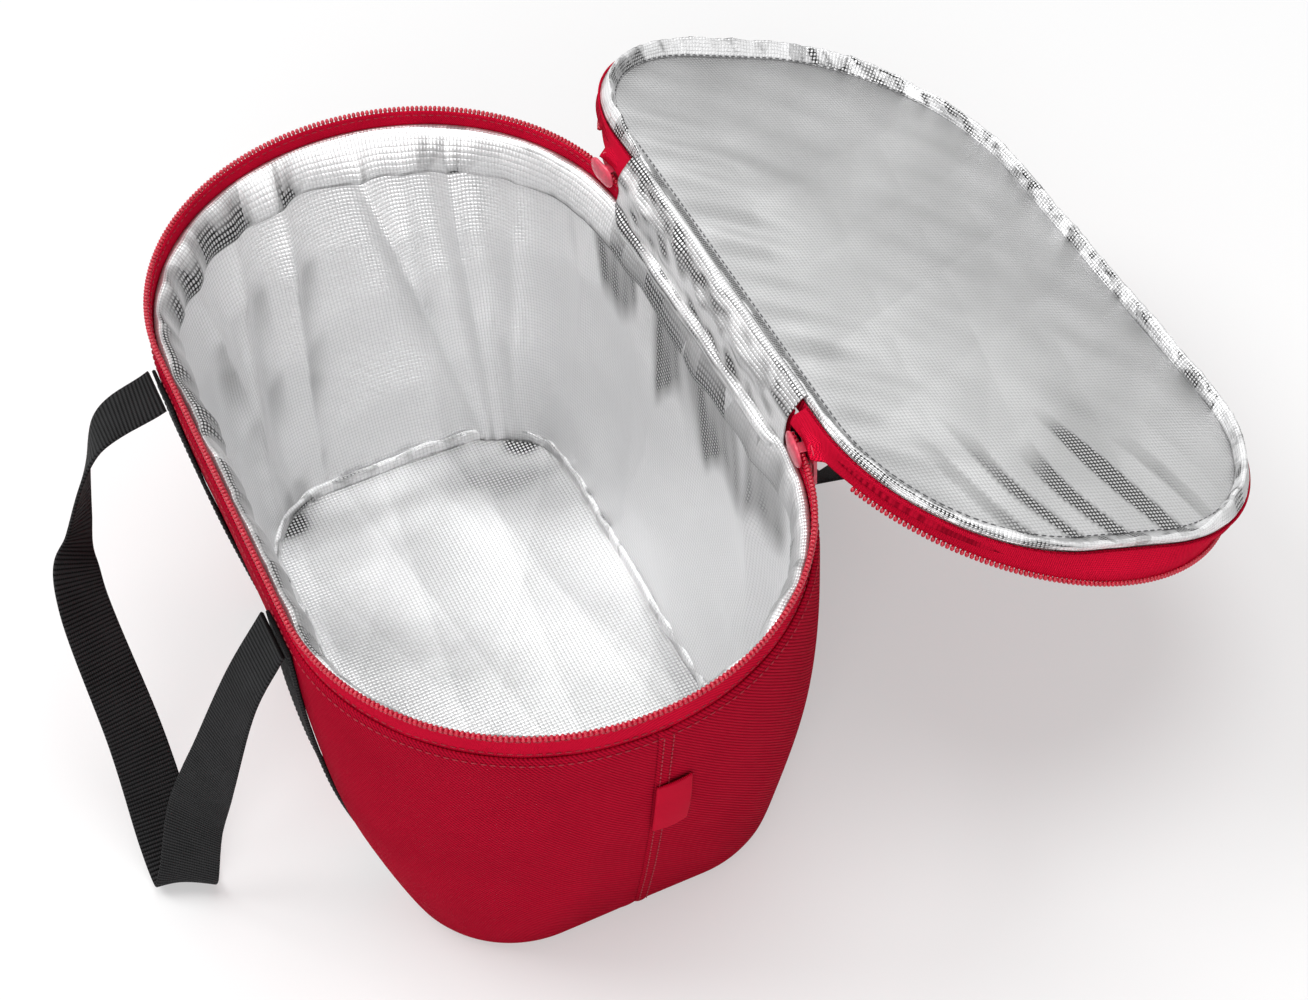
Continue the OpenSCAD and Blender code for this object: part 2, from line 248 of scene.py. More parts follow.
def lid_rest(points):
    """Turns points of the shut lid about the hinge line to where the open lid is."""
    c, s = math.cos(OPEN), math.sin(OPEN)
    y = points[..., 1] - HINGE[1]
    z = points[..., 2] - HINGE[2]
    return np.stack([points[..., 0], HINGE[1] + y * c + z * s, HINGE[2] - y * s + z * c], -1)


# The lid as it lies open: reach from the middle to its near and far ends, depth from hinge to free edge, sink of its
# far end, and the rounding of its four corners from the near one at the hinge round by the far end
LID_NEAR, LID_FAR, LID_DEPTH, LID_SINK = 0.208, 0.207, 0.2520, 0.004
LID_CORNERS = (0.099, 0.091, 0.116, 0.103)


def lid_outline(s, inset):
    """The lid's outline moved inwards by inset: four quarter circles of its own corners joined by straight lines,
    walked by the share s of its way round from the middle of the near end. Returns x, y and the outward direction."""
    quarter = np.linspace(0, math.pi / 2, 40)
    free = LID_EDGE - LID_DEPTH
    rows = [[0.0, 0.0, LID_NEAR - inset, (LID_EDGE + free) / 2]]
    turns, ends = [rows], (LID_NEAR, -LID_FAR, -LID_FAR, LID_NEAR)
    for k, (corner, end) in enumerate(zip(LID_CORNERS, ends)):
        x = end - corner if end > 0 else corner + end
        y = LID_EDGE - corner if k < 2 else free + corner
        turns.append(np.stack(np.broadcast_arrays(quarter + k * math.pi / 2, corner - inset, x, y), -1))
    turn, r, cx, cy = np.vstack(turns + [[[2 * math.pi] + rows[0][1:]]]).T
    x, y = cx + r * np.cos(turn), cy + r * np.sin(turn)
    way = round_way(np.stack([x, y], -1))
    at = np.mod(s, 1.0) * way[-1]
    angle = np.interp(at, way, turn)
    return np.interp(at, way, x), np.interp(at, way, y), np.cos(angle), np.sin(angle)


def sink(x):
    """How far the lid's far end hangs below its plane: it grows with the square of the way past the hinge strip."""
    return LID_SINK * np.clip((-x - 0.06) / (LID_FAR - 0.06), 0, 1.2) ** 2


def smooth_route(rows, steps):
    """Catmull-Rom curve through rows of numbers, each stretch cut into steps."""
    rows = np.asarray(rows, float)
    p = np.vstack([2 * rows[0] - rows[1], rows, 2 * rows[-1] - rows[-2]])
    t = (np.arange(steps) / steps)[None, :, None]
    a, b, c, d = (p[i:len(p) - 3 + i][:, None, :] for i in range(4))
    curve = 0.5 * (2 * b + (c - a) * t + (2 * a - 5 * b + 4 * c - d) * t ** 2 + (3 * b - a - 3 * c + d) * t ** 3)
    return np.vstack([curve.reshape(-1, rows.shape[1]), rows[-1:]])


def unit(v):
    """Vectors made one long."""
    return v / np.maximum(np.linalg.norm(v, axis=-1, keepdims=True), 1e-12)


# Meshes


def put(name, points, faces, uv=None):
    """A smooth-shaded object from arrays of points, faces and face-corner UVs, its doubles merged and faces outward."""
    mesh = bpy.data.meshes.new(name)
    mesh.from_pydata(points.reshape(-1, 3).tolist(), [], faces)
    if uv is not None:
        mesh.uv_layers.new(name="cloth").data.foreach_set("uv", np.asarray(uv, np.float32).ravel())
    solid = bmesh.new()
    solid.from_mesh(mesh)
    bmesh.ops.remove_doubles(solid, verts=solid.verts, dist=1e-6)
    bmesh.ops.recalc_face_normals(solid, faces=solid.faces)
    solid.to_mesh(mesh)
    solid.free()
    mesh.polygons.foreach_set("use_smooth", np.ones(len(mesh.polygons), bool))
    obj = bpy.data.objects.new(name, mesh)
    bpy.context.scene.collection.objects.link(obj)
    return obj


def loft(name, points, closed, uv):
    """Closed loops carried along a path: points[i, j] is point j of loop i, and each quad joins two loops.
    A closed path joins its last loop to the first; an open one is capped by quads across each end loop.
    uv[i, j] has one row and one column more than points, for the corners past the seams."""
    rows, cols = points.shape[:2]
    r, c = np.meshgrid(np.arange(rows if closed else rows - 1), np.arange(cols), indexing="ij")
    cr = np.stack([r, r + 1, r + 1, r], -1).reshape(-1, 4)
    cc = np.stack([c, c, c + 1, c + 1], -1).reshape(-1, 4)
    faces = (cr % rows) * cols + cc % cols
    corner_uv = uv[cr, cc]
    if not closed:
        j = np.arange(cols // 2 - 1)
        cap = np.stack([j, j + 1, cols - 2 - j, cols - 1 - j], -1)
        faces = np.vstack([faces, cap, cap + (rows - 1) * cols])
        corner_uv = np.vstack([corner_uv, uv[0, cap], uv[rows - 1, cap]])
    return put(name, points, faces.tolist(), corner_uv)


def strip_uv(along, across):
    """UVs in metres from the way along the path and the way round the loop."""
    return np.stack(np.meshgrid(along, across, indexing="ij"), -1)


def plane_uv(u, v):
    """UVs in metres from two flat coordinates of a grid, with the first row and column again at its end."""
    grid = np.stack([u, v], -1)
    grid = np.concatenate([grid, grid[:1]], 0)
    return np.concatenate([grid, grid[:, :1]], 1)


def round_way(points):
    """Way along a path of points, from its start."""
    return np.concatenate([[0], np.cumsum(np.linalg.norm(np.diff(points, axis=0), axis=1))])


def copies(name, shape_points, shape_faces, places, frames):
    """One small shape set down many times: each copy is the shape times its three directions, moved to its place."""
    pts = np.einsum("kj,nji->nki", shape_points, frames) + places[:, None, :]
    step = np.arange(len(places))[:, None, None] * len(shape_points)
    faces = (np.asarray(shape_faces)[None] + step).reshape(-1, 4)
    return put(name, pts, faces.tolist())


def bead(rings, sides, length, width, height, square=1.0):
    """An ellipsoid grid from pole to pole along its length; square below 1 makes its ends blunter."""
    a = np.linspace(0, math.pi, rings)
    b = np.linspace(0, 2 * math.pi, sides, endpoint=False)
    r = np.sin(a) ** square
    x = -np.cos(a)[:, None] * np.ones(sides) * length / 2
    y = r[:, None] * np.cos(b) * width / 2
    z = r[:, None] * np.sin(b) * height / 2
    i, j = np.meshgrid(np.arange(rings - 1), np.arange(sides), indexing="ij")
    faces = np.stack([i * sides + j, i * sides + (j + 1) % sides,
                      (i + 1) * sides + (j + 1) % sides, (i + 1) * sides + j], -1).reshape(-1, 4)
    return np.stack([x, y, z], -1).reshape(-1, 3), faces


def evenly(path, out, pitch):
    """Places every pitch along a path, with the directions along, across and out of the surface there."""
    way = round_way(path)
    at = np.arange(pitch / 2, way[-1], pitch)

    def read(values, spots):
        return np.stack([np.interp(spots, way, values[:, i]) for i in range(3)], -1)
    along = unit(read(path, at + pitch / 3) - read(path, at - pitch / 3))
    across = unit(np.cross(read(out, at), along))
    return read(path, at), np.stack([along, across, np.cross(along, across)], 1)


def sew(name, lines, body, material, slot):
    """Rows of stitches: a blunt bead of thread every stitch pitch along each line, half sunk into the cloth."""
    p = shape()
    pts, faces = bead(5, 6, p.stitch * 0.74, p.thread, p.thread, 0.6)
    places, frames = zip(*[evenly(path, out, p.stitch) for path, out in lines])
    place(copies(name, pts, faces, np.vstack(places), np.vstack(frames)), material, slot, body)


def flat_loop(width, thick):
    """Loop of a flat band: across its outer face from edge to edge, round the edge, and back across its inner face."""
    x = np.concatenate([np.linspace(-0.5, -0.47, 3), np.linspace(-0.4, 0.4, 5), np.linspace(0.47, 0.5, 3)]) * width
    near_edge = np.clip((np.abs(x) - (width / 2 - thick / 2)) / (thick / 2), 0, 1)
    bow = np.maximum(np.sqrt(np.clip(1 - near_edge ** 2, 0, 1)), 0.12)
    top = np.stack([x, thick * (0.5 + 0.5 * bow)], -1)
    bottom = np.stack([x[::-1], thick * (0.5 - 0.5 * bow[::-1])], -1)
    return np.vstack([top, bottom])


# Materials

NOISE, MAP_RANGE, VECTOR_MATH = "ShaderNodeTexNoise", "ShaderNodeMapRange", "ShaderNodeVectorMath"


class Wire:
    """An output socket that takes plain arithmetic: each sign adds a math node to the socket's tree."""

    def __init__(self, socket):
        self.socket = socket

    def calc(self, operation, a, b=0.0):
        return wire(self.socket.id_data, "ShaderNodeMath", {"operation": operation}, i0=a, i1=b)

    def __add__(self, other):
        return self.calc("ADD", self, other)

    def __sub__(self, other):
        return self.calc("SUBTRACT", self, other)

    def __rsub__(self, other):
        return self.calc("SUBTRACT", other, self)

    def __mul__(self, other):
        return self.calc("MULTIPLY", self, other)

    def __rtruediv__(self, other):
        return self.calc("DIVIDE", other, self)

    def __pow__(self, other):
        return self.calc("POWER", self, other)

    def ribs(self):
        """The folded sine |sin|, one rib for each half turn."""
        return self.calc("ABSOLUTE", self.calc("SINE", self))

    def ramp(self, start, end):
        """0 before start, 1 past end and a smooth step between them."""
        return wire(self.socket.id_data, MAP_RANGE, {"interpolation_type": "SMOOTHSTEP"}, i0=self, i1=start, i2=end)

    def spread(self, first, last):
        """A straight line from first at 0 to last at 1."""
        return wire(self.socket.id_data, MAP_RANGE, i0=self, i3=first, i4=last)

    def mix(self, a, b):
        """Colour a where the wire is 0 and b where it is 1."""
        return wire(self.socket.id_data, "ShaderNodeMix", {"data_type": "RGBA"}, 2, i0=self, i6=a, i7=b)


def feed(socket, value):
    """Links a wire to an input socket, or sets the socket to a plain value."""
    if isinstance(value, Wire):
        socket.id_data.links.new(value.socket, socket)
    else:
        socket.default_value = value


def add(tree, kind, settings=None, **inputs):
    """A node with its settings and its inputs, by number as i0 or by name with an underscore for a space."""
    node = tree.nodes.new(kind)
    for key, value in (settings or {}).items():
        setattr(node, key, value)
    for key, value in inputs.items():
        numbered = key[0] == "i" and key[1:].isdigit()
        feed(node.inputs[int(key[1:]) if numbered else key.replace("_", " ")], value)
    return node


def wire(tree, kind, settings=None, output=0, **inputs):
    """One output of a new node."""
    return Wire(add(tree, kind, settings, **inputs).outputs[output])


def split(tree, vector):
    """The first two coordinates of a vector."""
    xyz = add(tree, "ShaderNodeSeparateXYZ", None, Vector=vector).outputs
    return Wire(xyz[0]), Wire(xyz[1])


def group(name, inputs, outputs):
    """An empty shader group. inputs gives each input's default, with None for a vector; the outputs are values.

    Returns the group, its inputs as wires by name and its output sockets."""
    tree = bpy.data.node_groups.new(name, "ShaderNodeTree")
    for label, value in inputs.items():
        kind = "NodeSocketVector" if value is None else "NodeSocketFloat"
        socket = tree.interface.new_socket(label, in_out="INPUT", socket_type=kind)
        if value is not None:
            socket.default_value = value
    for label in outputs:
        tree.interface.new_socket(label, in_out="OUTPUT", socket_type="NodeSocketFloat")
    start = tree.nodes.new("NodeGroupInput")
    return tree, {s.name: Wire(s) for s in start.outputs if s.name}, tree.nodes.new("NodeGroupOutput").inputs


def use_group(tree, name, **inputs):
    """The outputs of a shared group, by name."""
    node = add(tree, "ShaderNodeGroup", {"node_tree": bpy.data.node_groups[name]}, **inputs)
    return {s.name: Wire(s) for s in node.outputs}


def twill_group():
    """Twill: ridges along the diagonal u + 0.8 v, broken by finer threads along v. Puts out height and a shade mask."""
    tree, given, ends = group("twill", {"Vector": None, "Pitch": 0.001}, ("Height", "Shade"))
    u, v = split(tree, given["Vector"])
    turn = math.pi / given["Pitch"]
    diagonal = ((u + v * 0.8) * turn).ribs()
    thread = (v * (turn * 1.3)).ribs()
    height = diagonal * 0.65 + thread * 0.35
    patch = wire(tree, NOISE, Vector=given["Vector"], Scale=24.0, Detail=3.0, Roughness=0.55)
    feed(ends["Height"], height)
    feed(ends["Shade"], height * 0.70 + patch * 0.25)


def emboss_group():
    """Embossed film: a grid of raised cells, the root of |sin u| |sin v|. Puts out height and masks of the lines
    between the cells, narrow ones and a wide net that leaves only the crowns."""
    tree, given, ends = group("embossed grid", {"Vector": None, "Pitch": 0.002}, ("Height", "Lines", "Net"))
    turn = math.pi / given["Pitch"]
    across, along = ((axis * turn).ribs() for axis in split(tree, given["Vector"]))
    height = (across * along) ** 0.5
    feed(ends["Height"], height)
    feed(ends["Lines"], height.ramp(0.62, 0.22))
    feed(ends["Net"], height.ramp(0.92, 0.55))


def crinkle_group():
    """Creased film: slow and fine noise as height, and a random value for each facet, which the foil turns into painted
    reflection patches: the random value of Voronoi cells that are stretched across the strip by Stretch and bent by the
    slow noise."""
    tree, given, ends = group("crinkle", {"Vector": None, "Scale": 60.0, "Stretch": 0.4}, ("Height", "Facet", "Slow"))
    slow, fine = (add(tree, NOISE, None, Vector=given["Vector"], Scale=given["Scale"] * finer, Detail=detail).outputs
                  for finer, detail in ((0.4, 3.0), (2.0, 2.0)))
    feed(ends["Height"], Wire(slow[0]) + Wire(fine[0]) * 0.25)
    feed(ends["Slow"], Wire(slow[0]))
    bend = wire(tree, VECTOR_MATH, {"operation": "MULTIPLY_ADD"}, i0=Wire(slow[1]), i1=(0.008, 0.004, 0.0),
                i2=given["Vector"])
    shrink = wire(tree, "ShaderNodeCombineXYZ", X=1.0, Y=given["Stretch"], Z=1.0)
    way = wire(tree, VECTOR_MATH, {"operation": "MULTIPLY"}, i0=bend, i1=shrink)
    cell = wire(tree, "ShaderNodeTexVoronoi", {"voronoi_dimensions": "2D"}, "Color", Vector=way, Scale=given["Scale"])
    feed(ends["Facet"], wire(tree, "ShaderNodeSeparateColor", Color=cell))


def rgba(colour, gain=1.0):
    """The colour times a gain, with full alpha."""
    return tuple(min(c * gain, 1.0) for c in colour) + (1.0,)


def surface(name, coord="UV"):
    """A new material: its tree, its Principled shader and a coordinate, the cloth UV map in metres or Object."""
    mat = bpy.data.materials.new(name)
    mat.use_nodes = True
    tree = mat.node_tree
    if coord == "UV":
        vector = wire(tree, "ShaderNodeUVMap", {"uv_map": "cloth"})
    else:
        vector = wire(tree, "ShaderNodeTexCoord", None, "Object")
    return tree, tree.nodes["Principled BSDF"], vector


def finish(shader, height, depth, strength, **inputs):
    """Feeds the shader's inputs and bumps its normal by a height of the given depth in metres."""
    for key, value in inputs.items():
        feed(shader.inputs[key.replace("_", " ")], value)
    relief = wire(shader.id_data, "ShaderNodeBump", None, Height=height, Distance=depth, Strength=strength)
    feed(shader.inputs["Normal"], relief)


def red_cloth(name, gain, pitch, rough=0.72):
    """Coated woven polyester: diagonal twill with paler ridges, patchy shade and rougher hollows."""
    tree, shader, vector = surface(name)
    weave = use_group(tree, "twill", Vector=vector, Pitch=pitch)
    hollow, crown = (rgba(colours().red, tone * gain) for tone in (0.62, 1.32))
    finish(shader, weave["Height"], 0.0006, 1.0, Base_Color=weave["Shade"].ramp(0.22, 0.80).mix(hollow, crown),
           Roughness=weave["Shade"].spread(rough + 0.12, rough - 0.12), Specular_IOR_Level=0.01)


def foil_film(name, groove_shade, scale, creases, facet_reflection):
    """Metallised film with an embossed grid and painted light in its colour. The piece's own painted light attribute is
    a painted reflection, how dark a room the film would mirror, with painted shade in places: it greys the film, and
    past a third it blackens the lines between the cells and paints highlights on their crowns. Painted shade darkens
    the grooves between the cells, and facets of random tone and slow noise add painted reflection patches."""
    tree, shader, vector = surface(name)
    cells = use_group(tree, "embossed grid", Vector=vector, Pitch=0.0021)
    folds = use_group(tree, "crinkle", Vector=vector, Scale=scale, Stretch=0.45)
    gleam = wire(tree, "ShaderNodeAttribute", {"attribute_name": "gleam"}, "Fac")
    silver = colours().silver
    # Painted reflection: the piece's painted light plus facet tones and slow noise
    mirror = gleam + (folds["Facet"] - 0.5) * facet_reflection + (folds["Slow"] - 0.5) * 0.5
    dark = mirror.ramp(0.36, 0.66)
    tint = mirror.ramp(-0.25, 0.55).mix(rgba(silver), rgba(silver, 0.46))
    # Painted shade in the grooves between the embossed cells
    tint = (cells["Lines"] * groove_shade).mix(tint, rgba(silver, 0.22))
    # Where the painted reflection is dark, the net between the cell crowns is painted near black
    tint = (dark * (cells["Net"] * 0.95 + 0.05)).mix(tint, rgba(silver, 0.015))
    # and the crowns get a painted highlight
    tint = (dark * (1.0 - cells["Net"]) * 0.7).mix(tint, rgba(silver, 0.85))
    finish(shader, cells["Height"] * 0.16 + folds["Height"] * creases, 0.0018, 0.9, Base_Color=tint, Metallic=0.65,
           Roughness=folds["Slow"].spread(0.40, 0.26))


def mirrored(nx, ny, nz, bands):
    """Painted reflection: tone of the room that a film facing (nx, ny, nz) would mirror, to be painted into its colour:
    sines of two slanted directions, from 0 to 1.
    """
    first = np.sin(bands * (0.55 * nx - 0.50 * ny + 0.67 * nz) + 0.6)
    second = np.sin(1.7 * bands * (0.30 * nx + 0.80 * ny + 0.52 * nz) + 2.1)
    return fade(0.5 + 0.32 * first + 0.24 * second)


def paint_light(obj, rule):
    """Writes the painted light of each point of a piece, the painted reflection and shade that its foil colour shows,
    which the rule works out from its place and outward direction.
    """
    vertices = obj.data.vertices
    known = []
    for key in ("co", "normal"):
        values = np.empty(len(vertices) * 3, np.float32)
        vertices.foreach_get(key, values)
        known += list(values.reshape(-1, 3).T.astype(float))
    tone = np.clip(rule(*known), -0.3, 1).astype(np.float32)
    obj.data.attributes.new("gleam", "FLOAT", "POINT").data.foreach_set("value", tone)


def webbing_weave(name, rib_pitch=0.0021, warp_pitch=0.0012):
    """Ribbed webbing: ribs that run across it along v, warp threads along u, paler rib crowns and dusty patches."""
    tree, shader, vector = surface(name)
    u, v = split(tree, vector)
    height = (u * (math.pi / rib_pitch)).ribs() * 0.75 + (v * (math.pi / warp_pitch)).ribs() * 0.25
    shade = height * 0.75 + wire(tree, NOISE, Vector=vector, Scale=60.0, Detail=4.0) * 0.35
    hollow, crown = (rgba(colours().charcoal, tone) for tone in (0.22, 2.2))
    finish(shader, height, 0.0009, 1.0, Base_Color=shade.ramp(0.30, 0.90).mix(hollow, crown), Roughness=0.62,
           Specular_IOR_Level=0.05)


def enamel(name, colour, rough, coat):
    """Painted metal or nylon: faint noise in colour and gloss, with small pits."""
    tree, shader, vector = surface(name, "Object")
    noise = wire(tree, NOISE, Vector=vector, Scale=420.0, Detail=4.0)
    finish(shader, noise, 0.00008, 0.5, Base_Color=noise.ramp(0.35, 0.7).mix(rgba(colour, 0.82), rgba(colour, 1.10)),
           Roughness=noise.spread(rough + 0.08, rough - 0.08), Coat_Weight=coat, Coat_Roughness=0.2)


def thread_twist(name, colour):
    """Sewing thread: fine noise along its strands."""
    tree, shader, vector = surface(name, "Object")
    noise = wire(tree, NOISE, Vector=vector, Scale=2600.0, Detail=2.0)
    finish(shader, noise, 0.0001, 0.5, Base_Color=noise.mix(rgba(colour, 0.6), rgba(colour, 1.25)), Roughness=0.6)


def foam_cells(name):
    """Closed-cell foam: small cells as bump and a faint mottle."""
    tree, shader, vector = surface(name, "Object")
    cell = wire(tree, "ShaderNodeTexVoronoi", None, "Distance", Vector=vector, Scale=700.0)
    finish(shader, cell, 0.0003, 0.5, Base_Color=cell.mix((0.80, 0.80, 0.78, 1), (0.90, 0.90, 0.88, 1)), Roughness=0.9)


def dress(obj, material):
    """Gives an object one material."""
    obj.data.materials.clear()
    obj.data.materials.append(bpy.data.materials[material])


def place(obj, material, slot, body, *nodes):
    """Gives a finished piece its material and body, and hides the CAD nodes that it stands for. The slot is not used.
    """
    dress(obj, material)
    if body:
        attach(obj, body)
    if nodes:
        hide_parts(*nodes)


# Pieces


class MakeFinishes(bpy.types.Operator):
    """Builds the shared node groups and the materials of cloth, foil, webbing, zip and thread"""
    bl_idname = "cooler_bag.finishes"
    bl_label = "Finishes"

    def execute(self, context):
        paint = colours()
        twill_group()
        emboss_group()
        crinkle_group()
        red_cloth("red twill", 1.0, 0.0021)
        # The zip tape is the cloth's red made 1.9 times as bright: painted light for the extra light the tape catches
        red_cloth("red zip tape", 1.9, 0.0010, 0.66)
        red_cloth("red ribbon", 1.95, 0.0007, 0.5)
        # The foils paint light into their colour: the second number is painted shade in the grooves, the last paints
        # reflection patches on the facets
        foil_film("wall foil", 0.24, 18.0, 1.3, 0.0)
        foil_film("lid foil", 0.34, 14.0, 1.6, 0.0)
        foil_film("crinkled foil", 0.25, 100.0, 1.3, 0.6)
        foil_film("folded foil", 0.25, 42.0, 1.3, 0.5)
        webbing_weave("charcoal webbing")
        enamel("rose enamel", paint.rose, 0.36, 0.4)
        enamel("red nylon", [c * 1.5 for c in paint.red], 0.28, 0.1)
        thread_twist("red thread", paint.red)
        thread_twist("dark thread", (0.10, 0.10, 0.105))
        thread_twist("black thread", (0.020, 0.020, 0.021))
        foam_cells("pale foam")
        return {"FINISHED"}


class MakeOuterCloth(bpy.types.Operator):
    """Lofts the front and back cloth from base to hem, and the base under them"""
    bl_idname = "cooler_bag.outer_cloth"
    bl_label = "Outer cloth"

    def execute(self, context):
        rise = np.concatenate([[0.0006, 0.0014, 0.0032, 0.006], np.linspace(0.011, WALL_TOP - 0.0025, 52),
                               [WALL_TOP - 0.0008, WALL_TOP]])
        tuck = np.interp(rise, [0.0, 0.0014, 0.0032, 0.006, 0.012], [0.0040, 0.0020, 0.0008, 0.0002, 0.0])
        hem = np.interp(rise, [WALL_TOP - 0.010, WALL_TOP - 0.004, WALL_TOP], [0.0, 0.0005, 0.0017])
        z = np.concatenate([rise, rise[::-1]])
        inset = np.concatenate([tuck + hem, (tuck + hem + CLOTH)[::-1]])
        first, last = 0.00008, 0.49992
        share = np.unique(np.concatenate([np.linspace(first, last, 210), np.linspace(first, 0.012, 16),
                                          np.linspace(0.488, last, 16)]))
        fell = np.minimum(share, 0.5 - share) * RIM_ROUND
        ridge = 0.0007 * np.exp(-((fell - 0.0045) / 0.0028) ** 4) - 0.0004 * np.exp(-(fell / 0.0009) ** 2)
        way = np.append(share, last) * RIM_ROUND
        for name, node, start, felled in (("back_cloth", "back_panel", 0.0, 1.0),
                                          ("front_cloth", "front_panel", 0.5, 0.3)):
            pts = cloth_point(share[:, None] + start, z[None, :], inset[None, :] - ridge[:, None] * felled)
            obj = loft(name, pts, False, strip_uv(way, np.append(z, z[0])))
            place(obj, "red twill", "red_fabric", "tub", node)

        s = np.arange(260) / 260
        reach = there_and_back(26, 26)
        x, y, _, _ = outline(s, BASE_L - 0.006, BASE_W - 0.006, BASE_CORNER - 0.003)
        x, y = x[:, None] * reach, y[:, None] * reach
        inside = 0.0011 + 0.0003 + 0.0003 * waves((x, y), 0.05, 5)
        pts = np.stack([x, y, np.where(np.arange(52) < 26, 0.0, inside)], -1)
        base = loft("base_cloth", pts, True, plane_uv(x, y))
        place(base, "red twill", "red_fabric", "tub", "base_panel")
        return {"FINISHED"}


class MakeFoam(bpy.types.Operator):
    """Foam layers behind the cloth, which only their cut edges would show"""
    bl_idname = "cooler_bag.foam"
    bl_label = "Foam"

    def execute(self, context):
        s = np.arange(180) / 180
        z = np.concatenate([np.linspace(0.008, FOAM_TOP, 24), np.linspace(FOAM_TOP, 0.008, 24)])
        pts = cloth_point(s[:, None], z[None, :], np.repeat([0.0014, 0.0060], 24)[None, :])
        wall = loft("wall_padding", pts, True, strip_uv(np.linspace(0, RIM_ROUND, 181), np.append(z, z[0])))
        place(wall, "pale foam", "foam", "tub", "wall_foam")

        reach = there_and_back(14, 14)
        for name, node, body, edge, under, over in (
                ("base_padding", "base_foam", "tub",
                 outline(s, BASE_L - 0.012, BASE_W - 0.012, BASE_CORNER - 0.006), 0.0016, 0.0058),
                ("lid_padding", "lid_foam", "lid", lid_outline(s, 0.0045), 0.0010, 0.0058)):
            x, y = edge[0][:, None] * reach, edge[1][:, None] * reach
            level = np.repeat([under, over], 14) + 0 * x
            pts = np.stack([x, y, level], -1)
            if body == "lid":
                pts = lid_rest(np.stack([x, y, level + HINGE[2] + sink(x)], -1))
            pad = loft(name, pts, True, plane_uv(x, y))
            place(pad, "pale foam", "foam", body, node)
        return {"FINISHED"}


# Folds of the wall lining: share round the bag at the rim and at the floor, depth as a share of the deepest, width
FOLDS = (
    (0.487, 0.440, 1.0, 0.011), (0.437, 0.431, 0.8, 0.011), (0.462, 0.470, 0.4, 0.012), (0.526, 0.548, 0.75, 0.012),
    (0.556, 0.600, 0.6, 0.015), (0.600, 0.575, 0.6, 0.016), (0.660, 0.655, 0.4, 0.020), (0.725, 0.735, 0.35, 0.022),
    (0.398, 0.418, 0.6, 0.014), (0.345, 0.372, 0.45, 0.020), (0.250, 0.300, 0.3, 0.024), (0.185, 0.150, 0.45, 0.018),
    (0.090, 0.110, 0.6, 0.014), (0.002, 0.020, 0.7, 0.011), (0.930, 0.938, 0.5, 0.018), (0.850, 0.842, 0.45, 0.022))
FOLD_TOP = 0.150  # height above which the folds fade out
FOLD_BLUNT = 0.006  # rounds the folds' crests
LAYERS = 0.0068  # cloth, foam and lining together


def lining_in(s, z):
    """How far the wall lining stands in: long folds whose section falls off as exp(-distance), waves and facets,
    all of which fade out towards the top."""
    p = shape()
    t = fade(z, FLOOR_Z, FOAM_TOP - FLOOR_Z)
    total = 0
    for at_top, at_floor, depth, width in FOLDS:
        gap = np.mod(s - (at_floor + (at_top - at_floor) * t) + 0.5, 1) - 0.5
        d = np.sqrt((gap * RIM_ROUND / width) ** 2 + FOLD_BLUNT)
        total = total + depth * np.exp(-d) * (0.25 + 0.75 * t ** 1.2)
    place_at = ring(s, 0.18) + (z,)
    total = p.fold * total + 0.0024 * (1 + waves(place_at, 0.14, 11)) + 0.0004 * (1 + waves(place_at, 0.05, 12))
    seam = fade(np.minimum(s, 1 - s) * 60)
    total = total + p.crumple * facets(s * RIM_ROUND, z, 0.085, 21, 5) * seam * 3.0
    return total * np.interp(z, [FOLD_TOP, WALL_TOP - 0.008, WALL_TOP + 0.004], [1.0, 0.35, 0.0])


def lining_point(s, z, lift):
    """Point of the wall lining at share s and height z, moved lift further in."""
    behind = np.interp(z, [FOLD_TOP, FOAM_TOP, WALL_TOP + 0.004], [LAYERS, LAYERS, 0.0064])
    return cloth_point(s, z, behind + lining_in(s, z) + lift)


def wall_painted_light(x, y, z, nx, ny, nz):
    """Painted light on the wall foil: painted reflection streaks on the far end, painted shade along the foot where the
    wall meets the floor, and dark painted reflections that hang like drapes with ragged lower edges along the top of
    the back wall.
    """
    tone = -0.20 + (0.45 + 0.75 * fade(-x, 0.05, 0.06)) * (mirrored(nx, ny, nz, 6.0) - 0.5)
    # Painted shade along the foot of the wall
    tone = tone + 0.35 * np.exp(-((z - FLOOR_Z) / 0.008) ** 2)
    # Dark painted reflections along the top of the back wall
    reflection_drape = fade(waves((x + 0.45 * z, 0.30 * z), 0.070, 25), -0.15, 0.25)
    reflection_drape = reflection_drape * fade(z - 0.145 - 0.040 * waves((x, 0 * x), 0.050, 26), 0, 0.016)
    reflection_drape = reflection_drape * (0.80 + 0.45 * waves((x + 0.45 * z, 0.25 * z), 0.018, 27))
    back = fade(y, 0.085, 0.012) * fade(-np.abs(x), -0.140, 0.03)
    return tone + back * (0.75 * reflection_drape + 0.10)


def floor_painted_light(x, y, z, nx, ny, nz):
    """Painted light on the floor foil: a bright painted reflection that greys to the near end and the back, a mottled
    far end, and painted shade in the far corners.
    """
    tone = 0.03 + 0.45 * (mirrored(nx, ny, nz, 12.0) - 0.5) + 0.20 * fade(x, 0.03, 0.06) + 0.12 * fade(y, 0.02, 0.05)
    tone = tone + 0.22 * fade(-x, 0.09, 0.03) * fade(facets(x, y, 0.045, 35) * 1.8, 0.2)
    # Painted shade in the two far corners where the wall's folds meet the floor
    return tone + 0.9 * np.exp(-(((x + 0.143) ** 2 + (np.abs(y) - 0.072) ** 2) / 0.009 ** 2))


